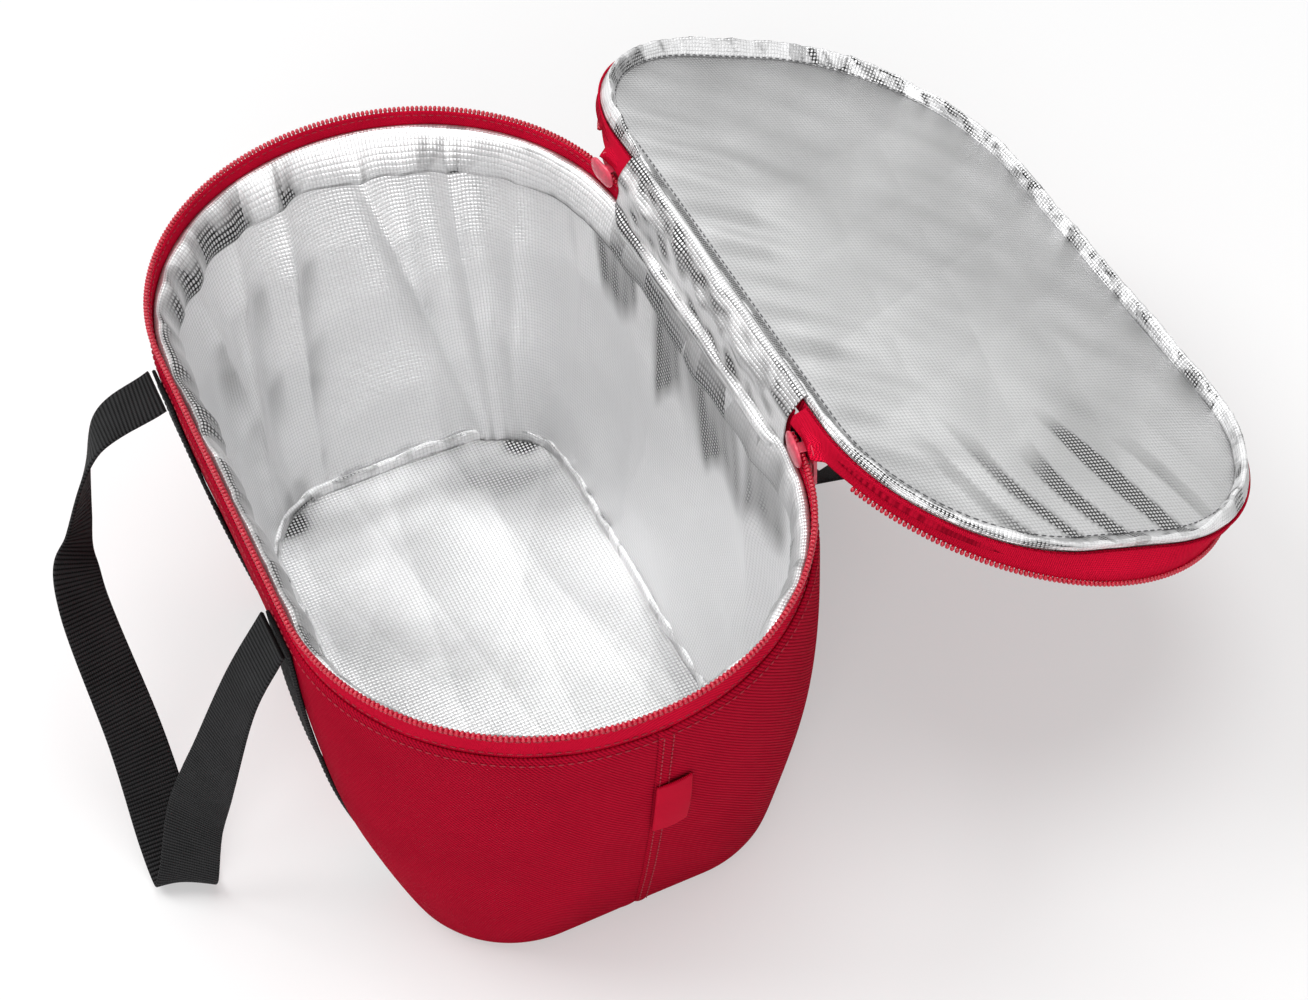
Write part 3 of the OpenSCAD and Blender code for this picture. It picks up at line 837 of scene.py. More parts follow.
def rim_painted_light(x, y, z, nx, ny, nz):
    """Painted reflection on the rim binding's pleats, darker at the far end and along the two long sides."""
    tone = 0.16 + (0.5 + 0.8 * fade(-x, 0.06, 0.05)) * (mirrored(nx, ny, nz, 5.0) - 0.5)
    return tone + 0.25 * fade(np.abs(y), 0.09, 0.02) * fade(-np.abs(x), -0.13, 0.03)


def lid_painted_light(x, y, z, nx, ny, nz):
    """Painted reflection on the lid foil: greyer away from the hinge, with a few dark painted reflection streaks across
    the near end.
    """
    from_hinge = y - HINGE[1]
    away = fade(from_hinge, 0, 0.09)
    tone = 0.13 + 0.20 * away + (0.50 - 0.20 * away) * (mirrored(nx, ny, nz, 24.0) - 0.5)
    streak = np.sin((from_hinge - 0.30 * x) * 2 * math.pi / 0.027 + 2 * waves((x, y), 0.08, 77))
    near = fade(x - 0.122 - 0.03 * waves((y, 0 * y), 0.05, 78), 0, 0.03)
    return tone + near * np.exp(-((from_hinge - 0.110) / 0.062) ** 4) * np.clip(1.5 * streak - 0.2, 0, 0.46)


class MakeLining(bpy.types.Operator):
    """Foil lining of wall and floor with the gathered bindings round the floor and under the zip tape"""
    bl_idname = "cooler_bag.lining"
    bl_label = "Lining"

    def execute(self, context):
        p = shape()
        s = np.arange(520) / 520
        rise = np.concatenate([np.linspace(FLOOR_Z + 0.0005, 0.175, 50), np.linspace(0.178, WALL_TOP + 0.003, 12)])
        z = np.concatenate([rise[::-1], rise])
        back = np.repeat([0.0, -FOIL], len(rise))
        pts = lining_point(s[:, None], z[None, :], back[None, :])
        wall = loft("wall_foil", pts, True, strip_uv(np.linspace(0, RIM_ROUND, 521), np.append(z, z[0])))
        place(wall, "wall foil", "foil", "tub", "wall_lining")
        paint_light(wall, wall_painted_light)

        s = np.arange(420) / 420
        reach = there_and_back(64, 8)
        x, y, _, _ = outline(s, BASE_L - 0.014, BASE_W - 0.014, BASE_CORNER - 0.007)
        x, y = x[:, None] * reach, y[:, None] * reach
        lift = 0.0011 * (1 + waves((x, y), 0.09, 31)) + p.crumple * 1.3 * facets(x, y, 0.06, 32)
        lift = np.where(np.arange(72) < 64, lift, -0.0004)
        floor = loft("floor_foil", np.stack([x, y, FLOOR_Z - 0.0002 + lift], -1), True, plane_uv(x, y))
        place(floor, "wall foil", "foil", "tub", "floor_lining")
        paint_light(floor, floor_painted_light)

        # Both bindings: a loop of 15 points over the bulge and 6 back under it
        s = np.arange(640) / 640
        q = np.concatenate([np.linspace(0, 1, 15), np.linspace(0.96, 0.04, 6)])
        wide = -np.cos(math.pi * q)
        tall = np.concatenate([np.sin(math.pi * q[:15]) ** 0.55, np.zeros(6)])

        ring_x, ring_y = ring(s[:, None], 0.15, q)
        gather = waves((ring_x, ring_y, q * 0.01 + 0 * ring_x), 0.014, 41, 6)
        sway = waves((ring_x, ring_y), 0.045, 42)
        fine = facets(ring_x, ring_y + q * 0.012, 0.006, 43)
        stand = 0.0088 + 0.0020 * waves((ring_x, ring_y), 0.022, 44) + 0.0010 * gather
        inset = 0.0098 + 0.0012 * sway + p.gather * 0.45 * gather * tall + 0.0008 * fine * tall
        inset = inset - (0.0024 + 0.0005 * gather) * wide
        x, y, nx, ny = (v[:, None] for v in outline(s, BASE_L, BASE_W, BASE_CORNER))
        pts = np.stack([x - nx * inset, y - ny * inset, FLOOR_Z - 0.0004 + stand * tall], -1)
        way = s * 2 * (BASE_L + BASE_W) * 0.82
        ridge = loft("floor_piping", pts, True, strip_uv(np.append(way, way[-1] + 0.002), np.append(q * 0.02, 0)))
        place(ridge, "crinkled foil", "foil_binding", "tub", "floor_binding")
        # Painted reflection on the floor binding
        paint_light(ridge, lambda x, y, z, *facing: 0.12 + 1.1 * (mirrored(*facing, 6.0) - 0.5))

        ring_x, ring_y = ring(s[:, None], 0.18, q)
        pleat = facets(ring_x, ring_y + q * 0.010, 0.034, 53, 4)
        fine = facets(ring_x, ring_y + q * 0.012, 0.010, 55)
        quiet = np.clip(fade(np.abs(ring_x), 0.075, 0.05) + (ring_y < 0), 0.15, 1)
        x, y, nx, ny = outline(s, RIM_L - 0.0042, RIM_W - 0.0042, RIM_W / 2 - 0.0021)
        band_top, band_foot = WALL_TOP + 0.0050, 0.1845
        top = np.stack([x, y, np.full_like(x, band_top)], -1)
        foot = lining_point(s, band_foot + 0.0025 * waves((ring_x[:, 0], ring_y[:, 0]), 0.035, 54), -0.0004)
        inward = np.stack([-nx, -ny, 0.55 + 0 * nx], -1)
        full = tall * (0.0034 + (0.0048 * pleat + 0.0010 * fine) * quiet)
        share = (0.5 + 0.5 * wide)[None, :, None]
        pts = top[:, None] * (1 - share) + foot[:, None] * share + inward[:, None] * full[..., None]
        rim = loft("rim_piping", pts, True, strip_uv(np.linspace(0, RIM_ROUND, 641), np.append(q * 0.025, 0)))
        place(rim, "folded foil", "foil_binding", "tub", "rim_binding")
        paint_light(rim, rim_painted_light)
        return {"FINISHED"}


class MakeHinge(bpy.types.Operator):
    """Cloth and foil strips that bend between the tub's back and the lid"""
    bl_idname = "cooler_bag.hinge"
    bl_label = "Hinge strips"

    def execute(self, context):
        def turned(y, z):
            return lid_rest(np.array([0.0, y, z]))[1:]
        foot = RIM_W / 2 - 0.0016
        top = turned(LID_EDGE + 0.0006, HINGE[2] + LID_T - 0.001)
        edge = turned(LID_EDGE - 0.002, HINGE[2] - 0.0010)
        x = np.linspace(-HINGE_X, HINGE_X, 130)
        cloth_rows = [[foot + 0.0002, FOAM_TOP + 0.002], [foot + 0.0004, WALL_TOP], [foot + 0.0012, WALL_TOP + 0.012],
                      [top[0] - 0.0004, top[1]]]
        foil_rows = [[LID_EDGE - 0.0058, WALL_TOP - 0.004], [LID_EDGE - 0.0064, WALL_TOP + 0.001],
                     [LID_EDGE - 0.0048, WALL_TOP + 0.0040], [LID_EDGE - 0.0018, WALL_TOP + 0.0062],
                     [LID_EDGE - 0.0006, WALL_TOP + 0.012], [LID_EDGE + 0.0005, WALL_TOP + 0.021],
                     [edge[0] - 0.0034, edge[1] - 0.0012], [edge[0] + 0.0005, edge[1] + 0.0016],
                     [edge[0] + 0.0024, edge[1] + 0.0008]]
        for name, node, mat, slot, rows, thick, wave in (
                ("hinge_cloth", "hinge_outer", "red twill", "red_fabric", cloth_rows, 0.0009, 0.0002),
                ("hinge_foil", "hinge_lining", "wall foil", "foil", foil_rows, FOIL, 0.0012)):
            line = smooth_route(rows, 7)
            way = round_way(line)
            ahead = unit(np.gradient(line, axis=0))
            out = np.stack([-ahead[:, 1], ahead[:, 0]], -1)
            u, v = x[:, None] + 0 * way, way + 0 * x[:, None]
            push = wave * (waves((u, 2 * v), 0.024, 61) * 1.1 + facets(u, v, 0.02, 62))
            push = push * np.sqrt(fade(np.sin(math.pi * way / way[-1])))
            front = line[None] + out[None] * push[..., None]
            if name == "hinge_foil":
                ends = fade(1 - (HINGE_X - np.abs(x)) / 0.014) ** 2
                front[..., 0] += 0.0046 * ends[:, None] * np.exp(-(way / 0.009) ** 4)
            strip = np.concatenate([front, (front - out[None] * thick)[:, ::-1]], 1)
            pts = np.concatenate([np.broadcast_to(x[:, None, None], strip.shape[:2] + (1,)), strip], -1)
            obj = loft(name, pts, False, strip_uv(np.append(x, x[-1]), np.concatenate([way, way[::-1], [0]])))
            place(obj, mat, slot, None, node)
            if name == "hinge_foil":
                # Painted reflection and shade on the hinge foil
                paint_light(obj, lambda x, y, z, *facing: 0.26 + 0.60 * waves((0.30 * x, 3 * z), 0.030, 63)
                       + 0.8 * (mirrored(*facing, 8.0) - 0.5))
            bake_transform(obj)
        return {"FINISHED"}


class MakeLid(bpy.types.Operator):
    """Cloth outside, puffed foil inside and the gathered binding round the lid's edge"""
    bl_idname = "cooler_bag.lid"
    bl_label = "Lid"

    def execute(self, context):
        p = shape()
        s = np.arange(460) / 460
        outward = np.linspace(0, 1, 60) ** 0.85
        reach = np.concatenate([outward, np.linspace(1, 0, 8)])
        x, y, _, _ = lid_outline(s, 0.0085)
        x, y = x[:, None] * reach, y[:, None] * reach
        dome = fade(1 - reach ** 4)[None, :]
        hem = fade(-y, -LID_EDGE, 0.09)
        pull = waves((x + 0.35 * y, 0.12 * y), 0.035, 74, 4) * (1 - hem) ** 2 * 0.0034
        lift = p.puff * dome * (0.75 + 0.35 * waves((x, y), 0.16, 71)) + p.crumple * dome * facets(x, y, 0.075, 72)
        lift = lift + (0.0006 * waves((x, y), 0.05, 73) + pull) * dome + 0.0002
        lift = np.where(np.arange(68) < 60, lift, -0.0004)
        pts = lid_rest(np.stack([x, y, HINGE[2] + sink(x) - lift], -1))
        foil = loft("lid_foil", pts, True, plane_uv(x, y))
        place(foil, "lid foil", "foil", "lid", "lid_lining")
        paint_light(foil, lid_painted_light)

        # Top of the cloth out to its edge, down its side, up inside it and back under the top
        edge, inner = (np.stack(lid_outline(s, inset)[:2], -1)[:, None] for inset in (0.0022, 0.0031))
        flat = np.concatenate([edge * outward[None, :, None], np.repeat(edge, 6, 1), np.repeat(inner, 6, 1),
                               inner * np.linspace(1, 0, 8)[None, :, None]], 1)
        x, y = flat[..., 0], flat[..., 1]
        crown = fade(1 - outward ** 6)[None, :] * (0.0022 + 0.0010 * waves((x, y), 0.13, 75)[:, :60])
        crown = crown + 0.0002 * waves((x, y), 0.03, 76)[:, :60]
        side = np.concatenate([np.linspace(LID_T - 0.0008, 0.0012, 6), np.linspace(0.0012, LID_T - 0.0012, 6),
                               np.full(8, LID_T - 0.0012)])
        level = np.concatenate([LID_T + crown, np.broadcast_to(side, (len(s), 20))], 1)
        pts = lid_rest(np.stack([x, y, HINGE[2] + sink(x) + level], -1))
        cloth = loft("lid_cloth", pts, True, plane_uv(x, y))
        place(cloth, "red twill", "red_fabric", "lid", "lid_panel")

        # Binding: 19 points over its standing lip and 5 back under it
        s = np.arange(760) / 760
        q = np.concatenate([np.linspace(0, 1, 19), np.linspace(0.95, 0.05, 5)])
        x, y, nx, ny = lid_outline(s, 0.0)
        lip = np.where(y > 0, 0.30 + 0.70 * fade(np.abs(x) - HINGE_X, -0.015, 0.04), 1.0)
        lip = (lip * (1 - 0.62 * fade(x, 0.07, 0.05) * fade(y, -0.085, 0.05)))[:, None]
        edge_x, edge_y = x[:, None] + 0 * q, y[:, None] + 0 * q
        gather = waves((edge_x, edge_y, q * 0.014 + 0 * edge_x), 0.016, 81, 6)
        fine = facets(edge_x, edge_y + q * 0.014, 0.008, 83)
        sway = waves((edge_x, edge_y), 0.06, 84)
        turns = [0, 0.25, 0.42, 0.52, 1.0]
        stand = np.interp(q, turns, [-0.0008, 0.0042, 0.0078, 0.0080, 0.0006])
        inset = np.interp(q, turns, [0.0026, 0.0024, 0.0030, 0.0044, 0.0106])
        stand[19:], inset[19:] = np.linspace(0.0002, -0.0006, 5), np.linspace(0.0098, 0.0030, 5)
        crease = np.sin(math.pi * q) ** 0.6 * (q > 0.02)
        crease[19:] = 0
        rise = (stand + crease * (p.gather * 0.75 * gather + 0.0014 * fine + 0.0008 * sway)) * lip
        inset = np.maximum(inset + crease * (0.0007 * gather + 0.0008 * sway), 0.0024)
        past_rim = np.hypot(np.clip(np.abs(x) - STRAIGHT, 0, None), y) - RIM_W / 2
        lean_in = np.clip(past_rim + 0.0016, 0, 0.0045) * np.where((x < 0) & (y > 0), 0.3, 1.0)
        inset = inset + lean_in[:, None] * fade(rise, 0, 0.0070)
        pts = np.stack([edge_x - nx[:, None] * inset, edge_y - ny[:, None] * inset, HINGE[2] - rise], -1)
        pts[..., 2] += sink(pts[..., 0])
        uv = strip_uv(np.linspace(0, RIM_ROUND, 761), np.append(q * 0.022, 0))
        band = loft("lid_piping", lid_rest(pts), True, uv)
        place(band, "crinkled foil", "foil_binding", "lid", "lid_binding")
        # Painted reflection on the lid binding
        paint_light(band, lambda x, y, z, *facing: 0.06 + 1.3 * (mirrored(*facing, 8.0) - 0.5))
        return {"FINISHED"}


# Angles past the back at which the zip's tapes and the lid's chain start, and where the sliders are parked
PULL_AXIS = joint("near_pull_swing")["pos_m"]
TUB_START = math.asin((HINGE_X + 0.0025 - STRAIGHT) / (RIM_W / 2))
LID_TAPE_START = TUB_START - math.radians(0.8)
LID_COIL_START = math.radians(24)
SLIDER_LEAN = math.atan2(PULL_AXIS[0] - STRAIGHT, PULL_AXIS[1])
SLIDER_Z = PULL_AXIS[2]


def zip_share(start, count):
    """Shares round the rim from the far start of the zip by the front to the near one, both an angle past the back."""
    gap = (RIM_W / 2 * (math.pi / 2 - start)) / RIM_ROUND
    return np.linspace(0.5 - gap, 1 + gap, count)


def coil_path(start, count):
    """The zip line of the rim with its outward direction."""
    x, y, nx, ny = outline(zip_share(start, count), RIM_L, RIM_W, RIM_W / 2)
    flat = np.zeros_like(x)
    return np.stack([x, y, flat], -1), np.stack([nx, ny, flat], -1)


def between_plates(pts, path, back):
    """Draws the parts of the open lid's tape that pass through the sliders in to the way between their plates.

    The plates' top is a circle with a slope beside it; a point below it is scaled towards the end arc's middle."""
    half, flat, slope, reach, soft, gap = 0.0064, 0.0035, 0.60, 0.0150, 0.0015, 0.0024
    past = np.abs(pts[..., 0]) - STRAIGHT
    turn = np.arctan2(np.abs(path[:, 0]) - STRAIGHT, np.maximum(path[:, 1], 0))
    along = np.abs(RIM_W / 2 * (turn - SLIDER_LEAN))
    beyond = np.clip(along - flat, 0, None)
    top = np.maximum(np.sqrt(np.clip(half ** 2 - beyond ** 2, 0, None)), half - slope * beyond) + SLIDER_Z + 0.0003
    at_slider = (path[:, 1] > 0) & (along < reach)
    held = fade(top[:, None] + soft - pts[..., 2], 0, soft) * at_slider[:, None]
    scale = 1 - held * np.clip(1 - (RIM_W / 2 + gap - back) / np.hypot(past, pts[..., 1]), 0, None)
    return np.stack([np.sign(pts[..., 0]) * (STRAIGHT + past * scale), pts[..., 1] * scale, pts[..., 2]], -1)


class MakeZip(bpy.types.Operator):
    """Zip tapes of tub and lid and the chains of teeth on their edges"""
    bl_idname = "cooler_bag.zip"
    bl_label = "Zip"

    def execute(self, context):
        p = shape()
        rise = np.concatenate([np.linspace(0, 0.9, 9), [0.95, 1.0]])
        q = np.concatenate([rise, rise[::-1]])
        back = np.repeat([0.0, TAPE], len(rise))
        tub_foot = low("tub_zip_tape")[2]
        count, seam_up, inside, meets = 560, 0.0016, 0.0007, 0.62
        for name, node, start, span in (("tub_tape", "tub_zip_tape", TUB_START, ZIP_Z - tub_foot),
                                        ("lid_tape", "lid_zip_tape", LID_TAPE_START, TAPE_H)):
            path, out = coil_path(start, count)
            way = round_way(path)
            wave = 0.00035 * waves((path[:, :1] + 0 * q, path[:, 1:2] + 0 * q), 0.03, 91) * np.sin(math.pi * q)
            inset = out[:, None, :] * (inside + back[None, :] + wave)[..., None]
            if name == "tub_tape":
                pts = path[:, None, :] - inset
                pts[..., 2] += tub_foot + (ZIP_Z - 0.0008 - tub_foot) * q
            else:
                x, y, nx, ny = lid_outline(zip_share(start, count), 0.0)
                seam = np.stack([x, y, 0 * x], -1) - 0.0004 * np.stack([nx, ny, 0 * nx], -1)
                hang = (fade(q, 0, meets) ** 1.2)[None, :, None]
                pts = seam[:, None, :] * (1 - hang) + path[:, None, :] * hang - inset
                pts[..., 2] += HINGE[2] + seam_up + (TAPE_H - 0.0024) * q
                pts = between_plates(lid_rest(pts), path, back)
            obj = loft(name, pts, False, strip_uv(np.append(way, way[-1]), np.append(q * span, 0)))
            place(obj, "red zip tape", "zip_tape", "tub" if name == "tub_tape" else None, node)
            if name == "lid_tape":
                down = lid_rest(np.array([[0, 0, HINGE[2]], [0, 0, HINGE[2] + TAPE_H]]))
                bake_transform(obj)

        pts, faces = bead(6, 8, COIL * 0.9, COIL * 0.95, p.tooth * 0.92, 0.7)
        for name, node, start, body, level in (("tub_teeth", "tub_zip_coil", TUB_START, "tub", ZIP_Z),
                                               ("lid_teeth", "lid_zip_coil", LID_COIL_START, "lid_chain",
                                                HINGE[2] + TAPE_H)):
            spot, frames = evenly(*coil_path(start, 2400), p.tooth)
            spot[:, 2] += level
            frames = np.stack([frames[:, 2], np.broadcast_to([0.0, 0.0, 1.0], frames[:, 2].shape), frames[:, 0]], 1)
            if body == "lid_chain":
                spot = lid_rest(spot)
                frames = lid_rest(frames + HINGE) - HINGE
            place(copies(name, pts, faces, spot, frames), "red nylon", "zip_coil", body, node)
        return {"FINISHED"}


def slab(profile, length, height):
    """A plate with round ends: its stadium outline, scaled and lifted by each row (share, lift) of the profile."""
    x, z, _, _ = outline(np.arange(56) / 56, length, height, height / 2)
    share, lift = np.asarray(profile, float).T
    return np.stack([x[:, None] * share, np.broadcast_to(lift, (56, len(lift))), z[:, None] * share], -1)


class MakeSliders(bpy.types.Operator):
    """Zip sliders with two domed plates, post, lugs and pin, and enamel on them and on their pull tabs"""
    bl_idname = "cooler_bag.sliders"
    bl_label = "Sliders"

    def execute(self, context):
        way = COIL / 2 + 0.0012
        dome = [(0.0, 0.0), (0.55, 0.0), (0.93, 0.0), (0.985, 0.0002), (1.0, 0.0007), (0.985, 0.0012), (0.92, 0.0017),
                (0.75, 0.0021), (0.50, 0.0024), (0.25, 0.0025), (0.0, 0.0025)]
        block = np.array([(0.0, -1.0), (0.95, -1.0), (1.0, -0.9), (1.0, 0.0), (1.0, 0.9), (0.95, 1.0), (0.0, 1.0)])
        plate = slab(dome, 0.0198, 0.0128)
        post = slab(block * [1, way], 0.0062, 0.0010)
        lug = slab(block * [1, 0.0007], 0.0050, 0.0036)[..., [1, 0, 2]]
        pin = slab(block * [1, 0.0052], 0.0016, 0.00158)[..., [1, 0, 2]]
        out = np.array([0.0, 1.0, 0.0])
        hub = np.hypot(PULL_AXIS[0] - STRAIGHT, PULL_AXIS[1]) - RIM_W / 2
        shells = [plate * [1, 0.45, 1] + out * way, plate * [1, -1, 1] - out * way, post, pin + out * hub]
        shells += [lug + out * (hub - 0.0008) + np.array([side * 0.0050, 0, 0]) for side in (-1, 1)]
        c, s = math.cos(SLIDER_LEAN), math.sin(SLIDER_LEAN)
        for end, face in (("near", 1), ("far", -1)):
            points, faces, count = [], [], 0
            for shell in shells:
                x, y, z = shell[..., 0], RIM_W / 2 + shell[..., 1], shell[..., 2]
                turned = np.stack([face * (STRAIGHT + c * x + s * y), c * y - s * x, SLIDER_Z + z], -1)
                points.append(turned.reshape(-1, 3))
                rows, cols = x.shape
                i, j = np.meshgrid(np.arange(rows), np.arange(cols - 1), indexing="ij")
                here, after = i * cols + j, (i + 1) % rows * cols + j
                faces.append(np.stack([here, after, after + 1, here + 1], -1).reshape(-1, 4) + count)
                count += rows * cols
            obj = put(end + "_slider_body", np.vstack(points), np.vstack(faces).tolist())
            place(obj, "rose enamel", "slider", end + "_slider", end + "_slider")
            dress(frame["nodes"][end + "_pull"], "rose enamel")
        return {"FINISHED"}


# Route of a let-down handle in mm: x, distance out from the turning line, z, turn of the webbing's width in degrees
HANDLE_ROUTE = ((85, 0, 200, 180), (85, 20, 170, 175), (79, 41, 116, 155), (64, 55, 62, 134), (62, 66, 17, 121),
                (51, 68, 6, 109), (34, 68, 17, 90), (1, 66, 60, 69), (-48, 67, 119, 52), (-70, 56, 144, 38),
                (-85, 34, 184, 18), (-85, 0, 200, 0))


class MakeWebbing(bpy.types.Operator):
    """Straps sewn to the walls and the two handle loops of ribbed webbing"""
    bl_idname = "cooler_bag.webbing"
    bl_label = "Webbing"

    def execute(self, context):
        loop = flat_loop(WEB_W, WEB)
        around = np.append(loop[:, 0], loop[0, 0])
        z = np.linspace(low("front_near_strap")[2], high("front_near_strap")[2], 90)
        sewn, thread_out = WEB_W / 2 - 0.0028, 0.0021
        lines = []
        for side, face in (("front", -1), ("back", 1)):
            for end, x0 in (("near", STRAP_X), ("far", -STRAP_X)):
                x = x0 + loop[None, :, 0] + 0 * z[:, None]
                rest = np.maximum.reduce([side_y(x0 + o * WEB_W / 2, z) for o in (-1, -0.5, 0, 0.5, 1)])
                y = face * (rest[:, None] + 0.0002 + loop[None, :, 1])
                pts = np.stack([x, y, np.broadcast_to(z[:, None], x.shape)], -1)
                obj = loft(side + "_" + end + "_web", pts, False, strip_uv(np.append(z, z[-1]), around))
                place(obj, "charcoal webbing", "webbing", "tub", side + "_" + end + "_strap")
                runs = [np.stack([np.full_like(z, x0 + o * sewn), face * (rest + thread_out), z], -1)[2:-4]
                        for o in (-1, 1)]
                for level in (0.012, 0.030, 0.170, 0.190):
                    at = face * (np.interp(level, z, rest) + thread_out)
                    runs.append(np.stack(np.broadcast_arrays(np.linspace(-sewn, sewn, 12) + x0, at, level), -1))
                lines += [(run, np.broadcast_to([0.0, face, 0.25], run.shape)) for run in runs]
        sew("strap_stitches", lines, "tub", "black thread", "webbing")

        route = smooth_route(HANDLE_ROUTE, 26)
        middle = np.stack([route[:, 0], -(HANDLE_Y * 1000 + route[:, 1]), route[:, 2]], -1) / 1000
        turn = np.radians(route[:, 3])
        across = np.stack([np.cos(turn), -np.sin(turn), 0 * turn], -1)
        along = unit(np.gradient(middle, axis=0))
        across = unit(across - along * np.sum(across * along, -1, keepdims=True))
        out = np.cross(along, across)
        pts = middle[:, None] + across[:, None] * loop[None, :, :1] + out[:, None] * (loop[None, :, 1:] - WEB / 2)
        way = round_way(middle)
        for side, face in (("front", 1), ("back", -1)):
            turned = pts * np.array([face, face, 1])
            obj = loft(side + "_grip", turned, False, strip_uv(np.append(way, way[-1]), around))
            place(obj, "charcoal webbing", "webbing", side + "_handle", side + "_handle")
        return {"FINISHED"}


class MakeSideTab(bpy.types.Operator):
    """Folded ribbon tab in the near end's seam"""
    bl_idname = "cooler_bag.side_tab"
    bl_label = "Side tab"

    def execute(self, context):
        reach = TAB_HIGH[1] - TAB_LOW[1]
        z = np.linspace(TAB_LOW[2], TAB_HIGH[2], 40)
        v = np.linspace(0, 1, 22)
        y = np.concatenate([v, v[::-1]]) * reach
        lift = np.concatenate([0.0008 + 0.0012 * np.sin(math.pi * v) ** 0.7,
                               0.0002 + 0.0004 * np.sin(math.pi * v[::-1])])
        bow = 0.0012 * np.sin(math.pi * (z - z[0]) / (z[-1] - z[0]))
        length, width, corner = wall_size(z[:, None])
        yy = TAB_LOW[1] + y[None, :] + 0 * z[:, None]
        zz = z[:, None] + 0 * yy
        past = np.clip(np.abs(yy) - (width / 2 - corner), 0, None)
        x = length / 2 - corner + np.sqrt(corner ** 2 - past ** 2)
        x = x + swell(x, yy, zz) + 0.0012 + lift[None, :] + bow[:, None] * (y / reach)[None, :]
        obj = loft("side_ribbon", np.stack([x, yy, zz], -1), False, strip_uv(np.append(z, z[-1]), np.append(y, 0)))
        place(obj, "red ribbon", "red_ribbon", "tub", "side_tab")
        return {"FINISHED"}


class MakeStitching(bpy.types.Operator):
    """Topstitching along hem, end seams, zip tape and lid lining"""
    bl_idname = "cooler_bag.stitching"
    bl_label = "Stitching"

    def execute(self, context):
        s = np.linspace(0, 1, 700)
        _, _, nx, ny = outline(s, *wall_size(WALL_TOP))
        out = np.stack([nx, ny, 0 * nx], -1)
        lines = [(cloth_point(s, np.full_like(s, WALL_TOP - 0.0042), 0.0004), out)]
        z = np.linspace(0.006, WALL_TOP - 0.002, 120)
        for at, face in ((0.0, 1.0), (0.5, -1.0)):
            for away in (0.0022, 0.0068):
                run = cloth_point(np.full_like(z, at + face * away / RIM_ROUND), z, -0.0008)
                lines.append((run, np.broadcast_to([face, 0.0, -0.2], run.shape)))
        sew("cloth_stitches", lines, "tub", "red thread", "red_fabric")

        path, out = coil_path(TUB_START, 600)
        lines = [(path + out * off + np.array([0, 0, level]), out * side) for level, side, off in (
            (ZIP_Z - 0.0032, 1, -0.0006), (ZIP_Z - 0.0032, -1, -0.0017), (WALL_TOP + 0.002, 1, -0.0006))]
        sew("tape_stitches", lines, "tub", "red thread", "zip_tape")

        x, y, _, _ = lid_outline(s, 0.0104)
        run = lid_rest(np.stack([x, y, HINGE[2] + sink(x) - 0.0012], -1))
        up = unit(lid_rest(HINGE + np.array([0, 0, -1.0])) - HINGE)
        sew("lid_stitches", [(run, np.broadcast_to(up, run.shape))], "lid", "dark thread", "foil")
        return {"FINISHED"}


def looked_at(tree):
    """Mask of the rays that come from the camera, through glass or off gloss."""
    ray = {s.name: Wire(s) for s in add(tree, "ShaderNodeLightPath").outputs}
    seen = ray["Is Camera Ray"].calc("MAXIMUM", ray["Is Camera Ray"], ray["Is Transmission Ray"])
    return seen.calc("MAXIMUM", seen, ray["Is Glossy Ray"])


def stand(name, data, right, back, spot):
    """Adds a lamp or camera at a spot, with the direction to its right and the one opposite to its look."""
    turned = np.eye(4)
    turned[:3] = np.stack([right, np.cross(back, right), back, spot], -1)
    obj = bpy.data.objects.new(name, data)
    obj.matrix_world = Matrix(turned.tolist())
    bpy.context.scene.collection.objects.link(obj)
    return obj


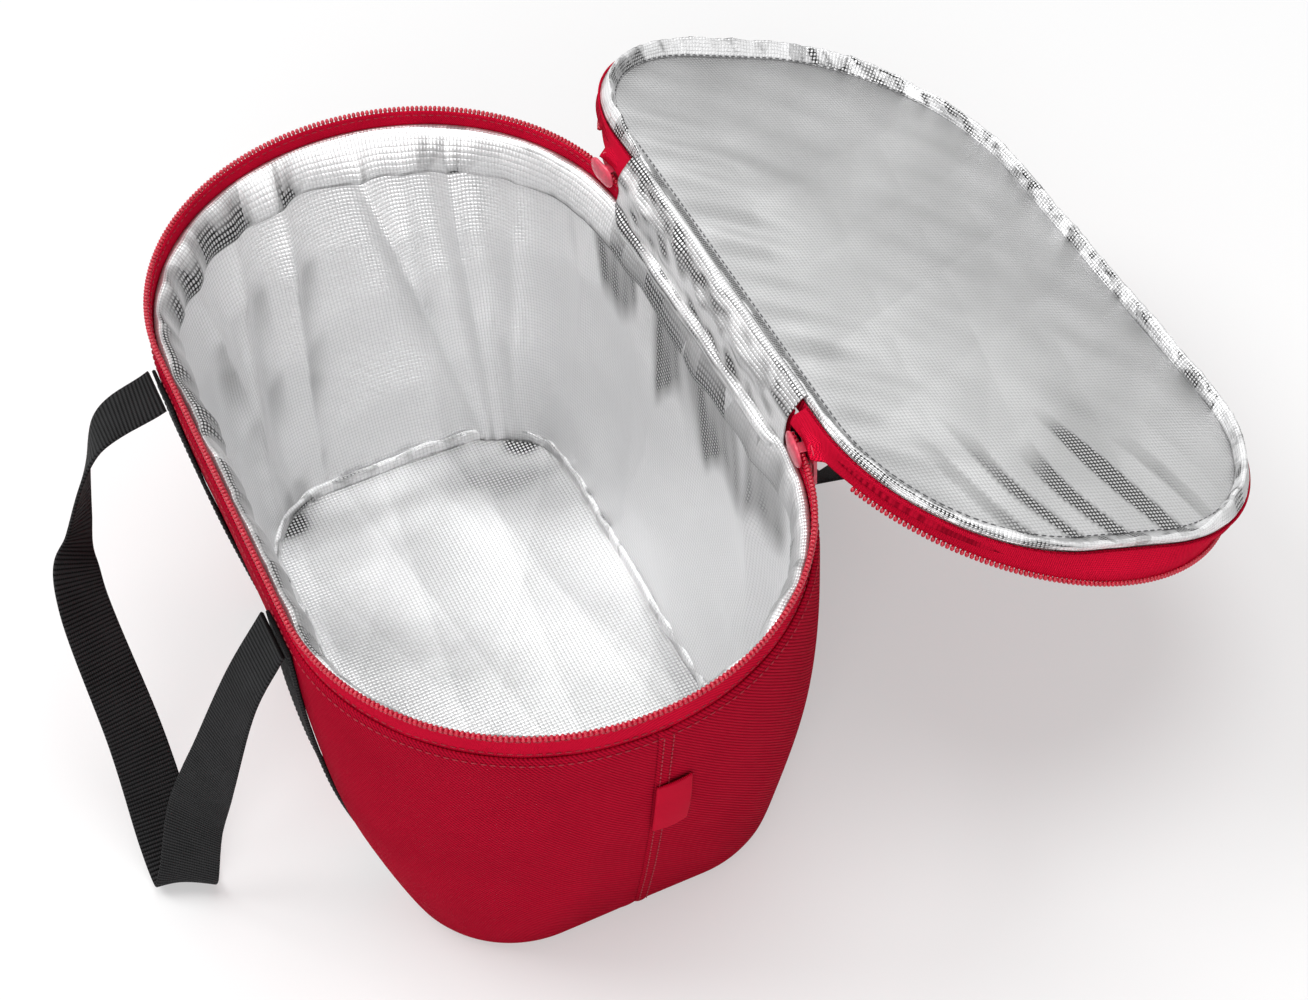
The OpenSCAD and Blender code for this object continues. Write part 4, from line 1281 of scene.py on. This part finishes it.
class MakeStage(bpy.types.Operator):
    """Pale floor, soft studio light and the camera at the photograph's angle"""
    bl_idname = "cooler_bag.stage"
    bl_label = "Stage"

    def execute(self, context):
        scene = context.scene
        scene.view_settings.view_transform = "Standard"
        white, half, glow = (1, 1, 1, 1), 6, 0.38
        mesh = bpy.data.meshes.new("floor")
        corners = [(-half, -half, 0), (half, -half, 0), (half, half, 0), (-half, half, 0)]
        mesh.from_pydata(corners, [], [(0, 1, 2, 3)])
        floor = bpy.data.objects.new("floor", mesh)
        scene.collection.objects.link(floor)
        tree, shader, _ = surface("pale floor", "Object")
        feed(shader.inputs["Base Color"], (0.90, 0.90, 0.90, 1))
        feed(shader.inputs["Roughness"], 0.9)
        feed(shader.inputs["Specular IOR Level"], 0.1)
        plain = wire(tree, "ShaderNodeEmission", Color=white, Strength=1.0)
        mixed = wire(tree, "ShaderNodeMixShader", i0=looked_at(tree) * glow, i1=Wire(shader.outputs[0]), i2=plain)
        feed(tree.nodes["Material Output"].inputs["Surface"], mixed)
        dress(floor, "pale floor")

        world = bpy.data.worlds.new("studio")
        scene.world = world
        world.use_nodes = True
        tree = world.node_tree
        tree.nodes.clear()
        lit, plain = (wire(tree, "ShaderNodeBackground", Color=white, Strength=level) for level in (0.30, 1.0))
        mixed = wire(tree, "ShaderNodeMixShader", i0=looked_at(tree), i1=lit, i2=plain)
        add(tree, "ShaderNodeOutputWorld", Surface=mixed)

        for name, spot, size, energy in (("key", (-1.8, -2.4, 4.0), 2.6, 115.0), ("top", (0.0, 0.2, 5.0), 3.0, 95.0),
                                         ("fill", (3.6, -1.6, 2.4), 3.0, 80.0)):
            lamp = bpy.data.lights.new(name, "AREA")
            lamp.shape = "DISK"
            lamp.size = size
            lamp.energy = energy
            back = unit(np.array(spot) - np.array([0.0, 0.1, 0.12]))
            stand(name, lamp, unit(np.cross([0.0, 0.3, 1.0], back)), back, spot)

        ahead = unit(np.array([-0.61076, 0.24992, -0.75134]))
        level = unit(np.cross(ahead, [0.0, 0.0, 1.0]))
        roll = math.radians(-3.639)
        right = level * math.cos(roll) + np.cross(level, ahead) * math.sin(roll)
        lens = bpy.data.cameras.new("camera")
        lens.lens = 71.32
        lens.sensor_width = 36.0
        scene.camera = stand("camera", lens, right, -ahead, (0.82759, -0.24551, 1.10716))
        return {"FINISHED"}


class BagPanel(bpy.types.Panel):
    """Sizes, colours and pieces of the cooler bag"""
    bl_idname = "VIEW3D_PT_cooler_bag"
    bl_label = "Cooler Bag"
    bl_space_type = "VIEW_3D"
    bl_region_type = "UI"
    bl_category = "Cooler Bag"

    def draw(self, context):
        for props in (context.scene.bag_shape, context.scene.bag_colours):
            for key in props.__annotations__:
                self.layout.prop(props, key)
        for piece in PIECES:
            self.layout.operator(piece.bl_idname)


PIECES = (MakeFinishes, MakeOuterCloth, MakeFoam, MakeLining, MakeHinge, MakeLid, MakeZip, MakeSliders, MakeWebbing,
          MakeSideTab, MakeStitching, MakeStage)
CLASSES = (BagShape, BagColours) + PIECES + (BagPanel,)


def register():
    for cls in CLASSES:
        bpy.utils.register_class(cls)
    bpy.types.Scene.bag_shape = bpy.props.PointerProperty(type=BagShape)
    bpy.types.Scene.bag_colours = bpy.props.PointerProperty(type=BagColours)


def unregister():
    del bpy.types.Scene.bag_colours
    del bpy.types.Scene.bag_shape
    for cls in reversed(CLASSES):
        bpy.utils.unregister_class(cls)


def main():
    register()
    for piece in PIECES:
        family, name = piece.bl_idname.split(".")
        getattr(getattr(bpy.ops, family), name)()


if __name__ == "__main__":
    main()
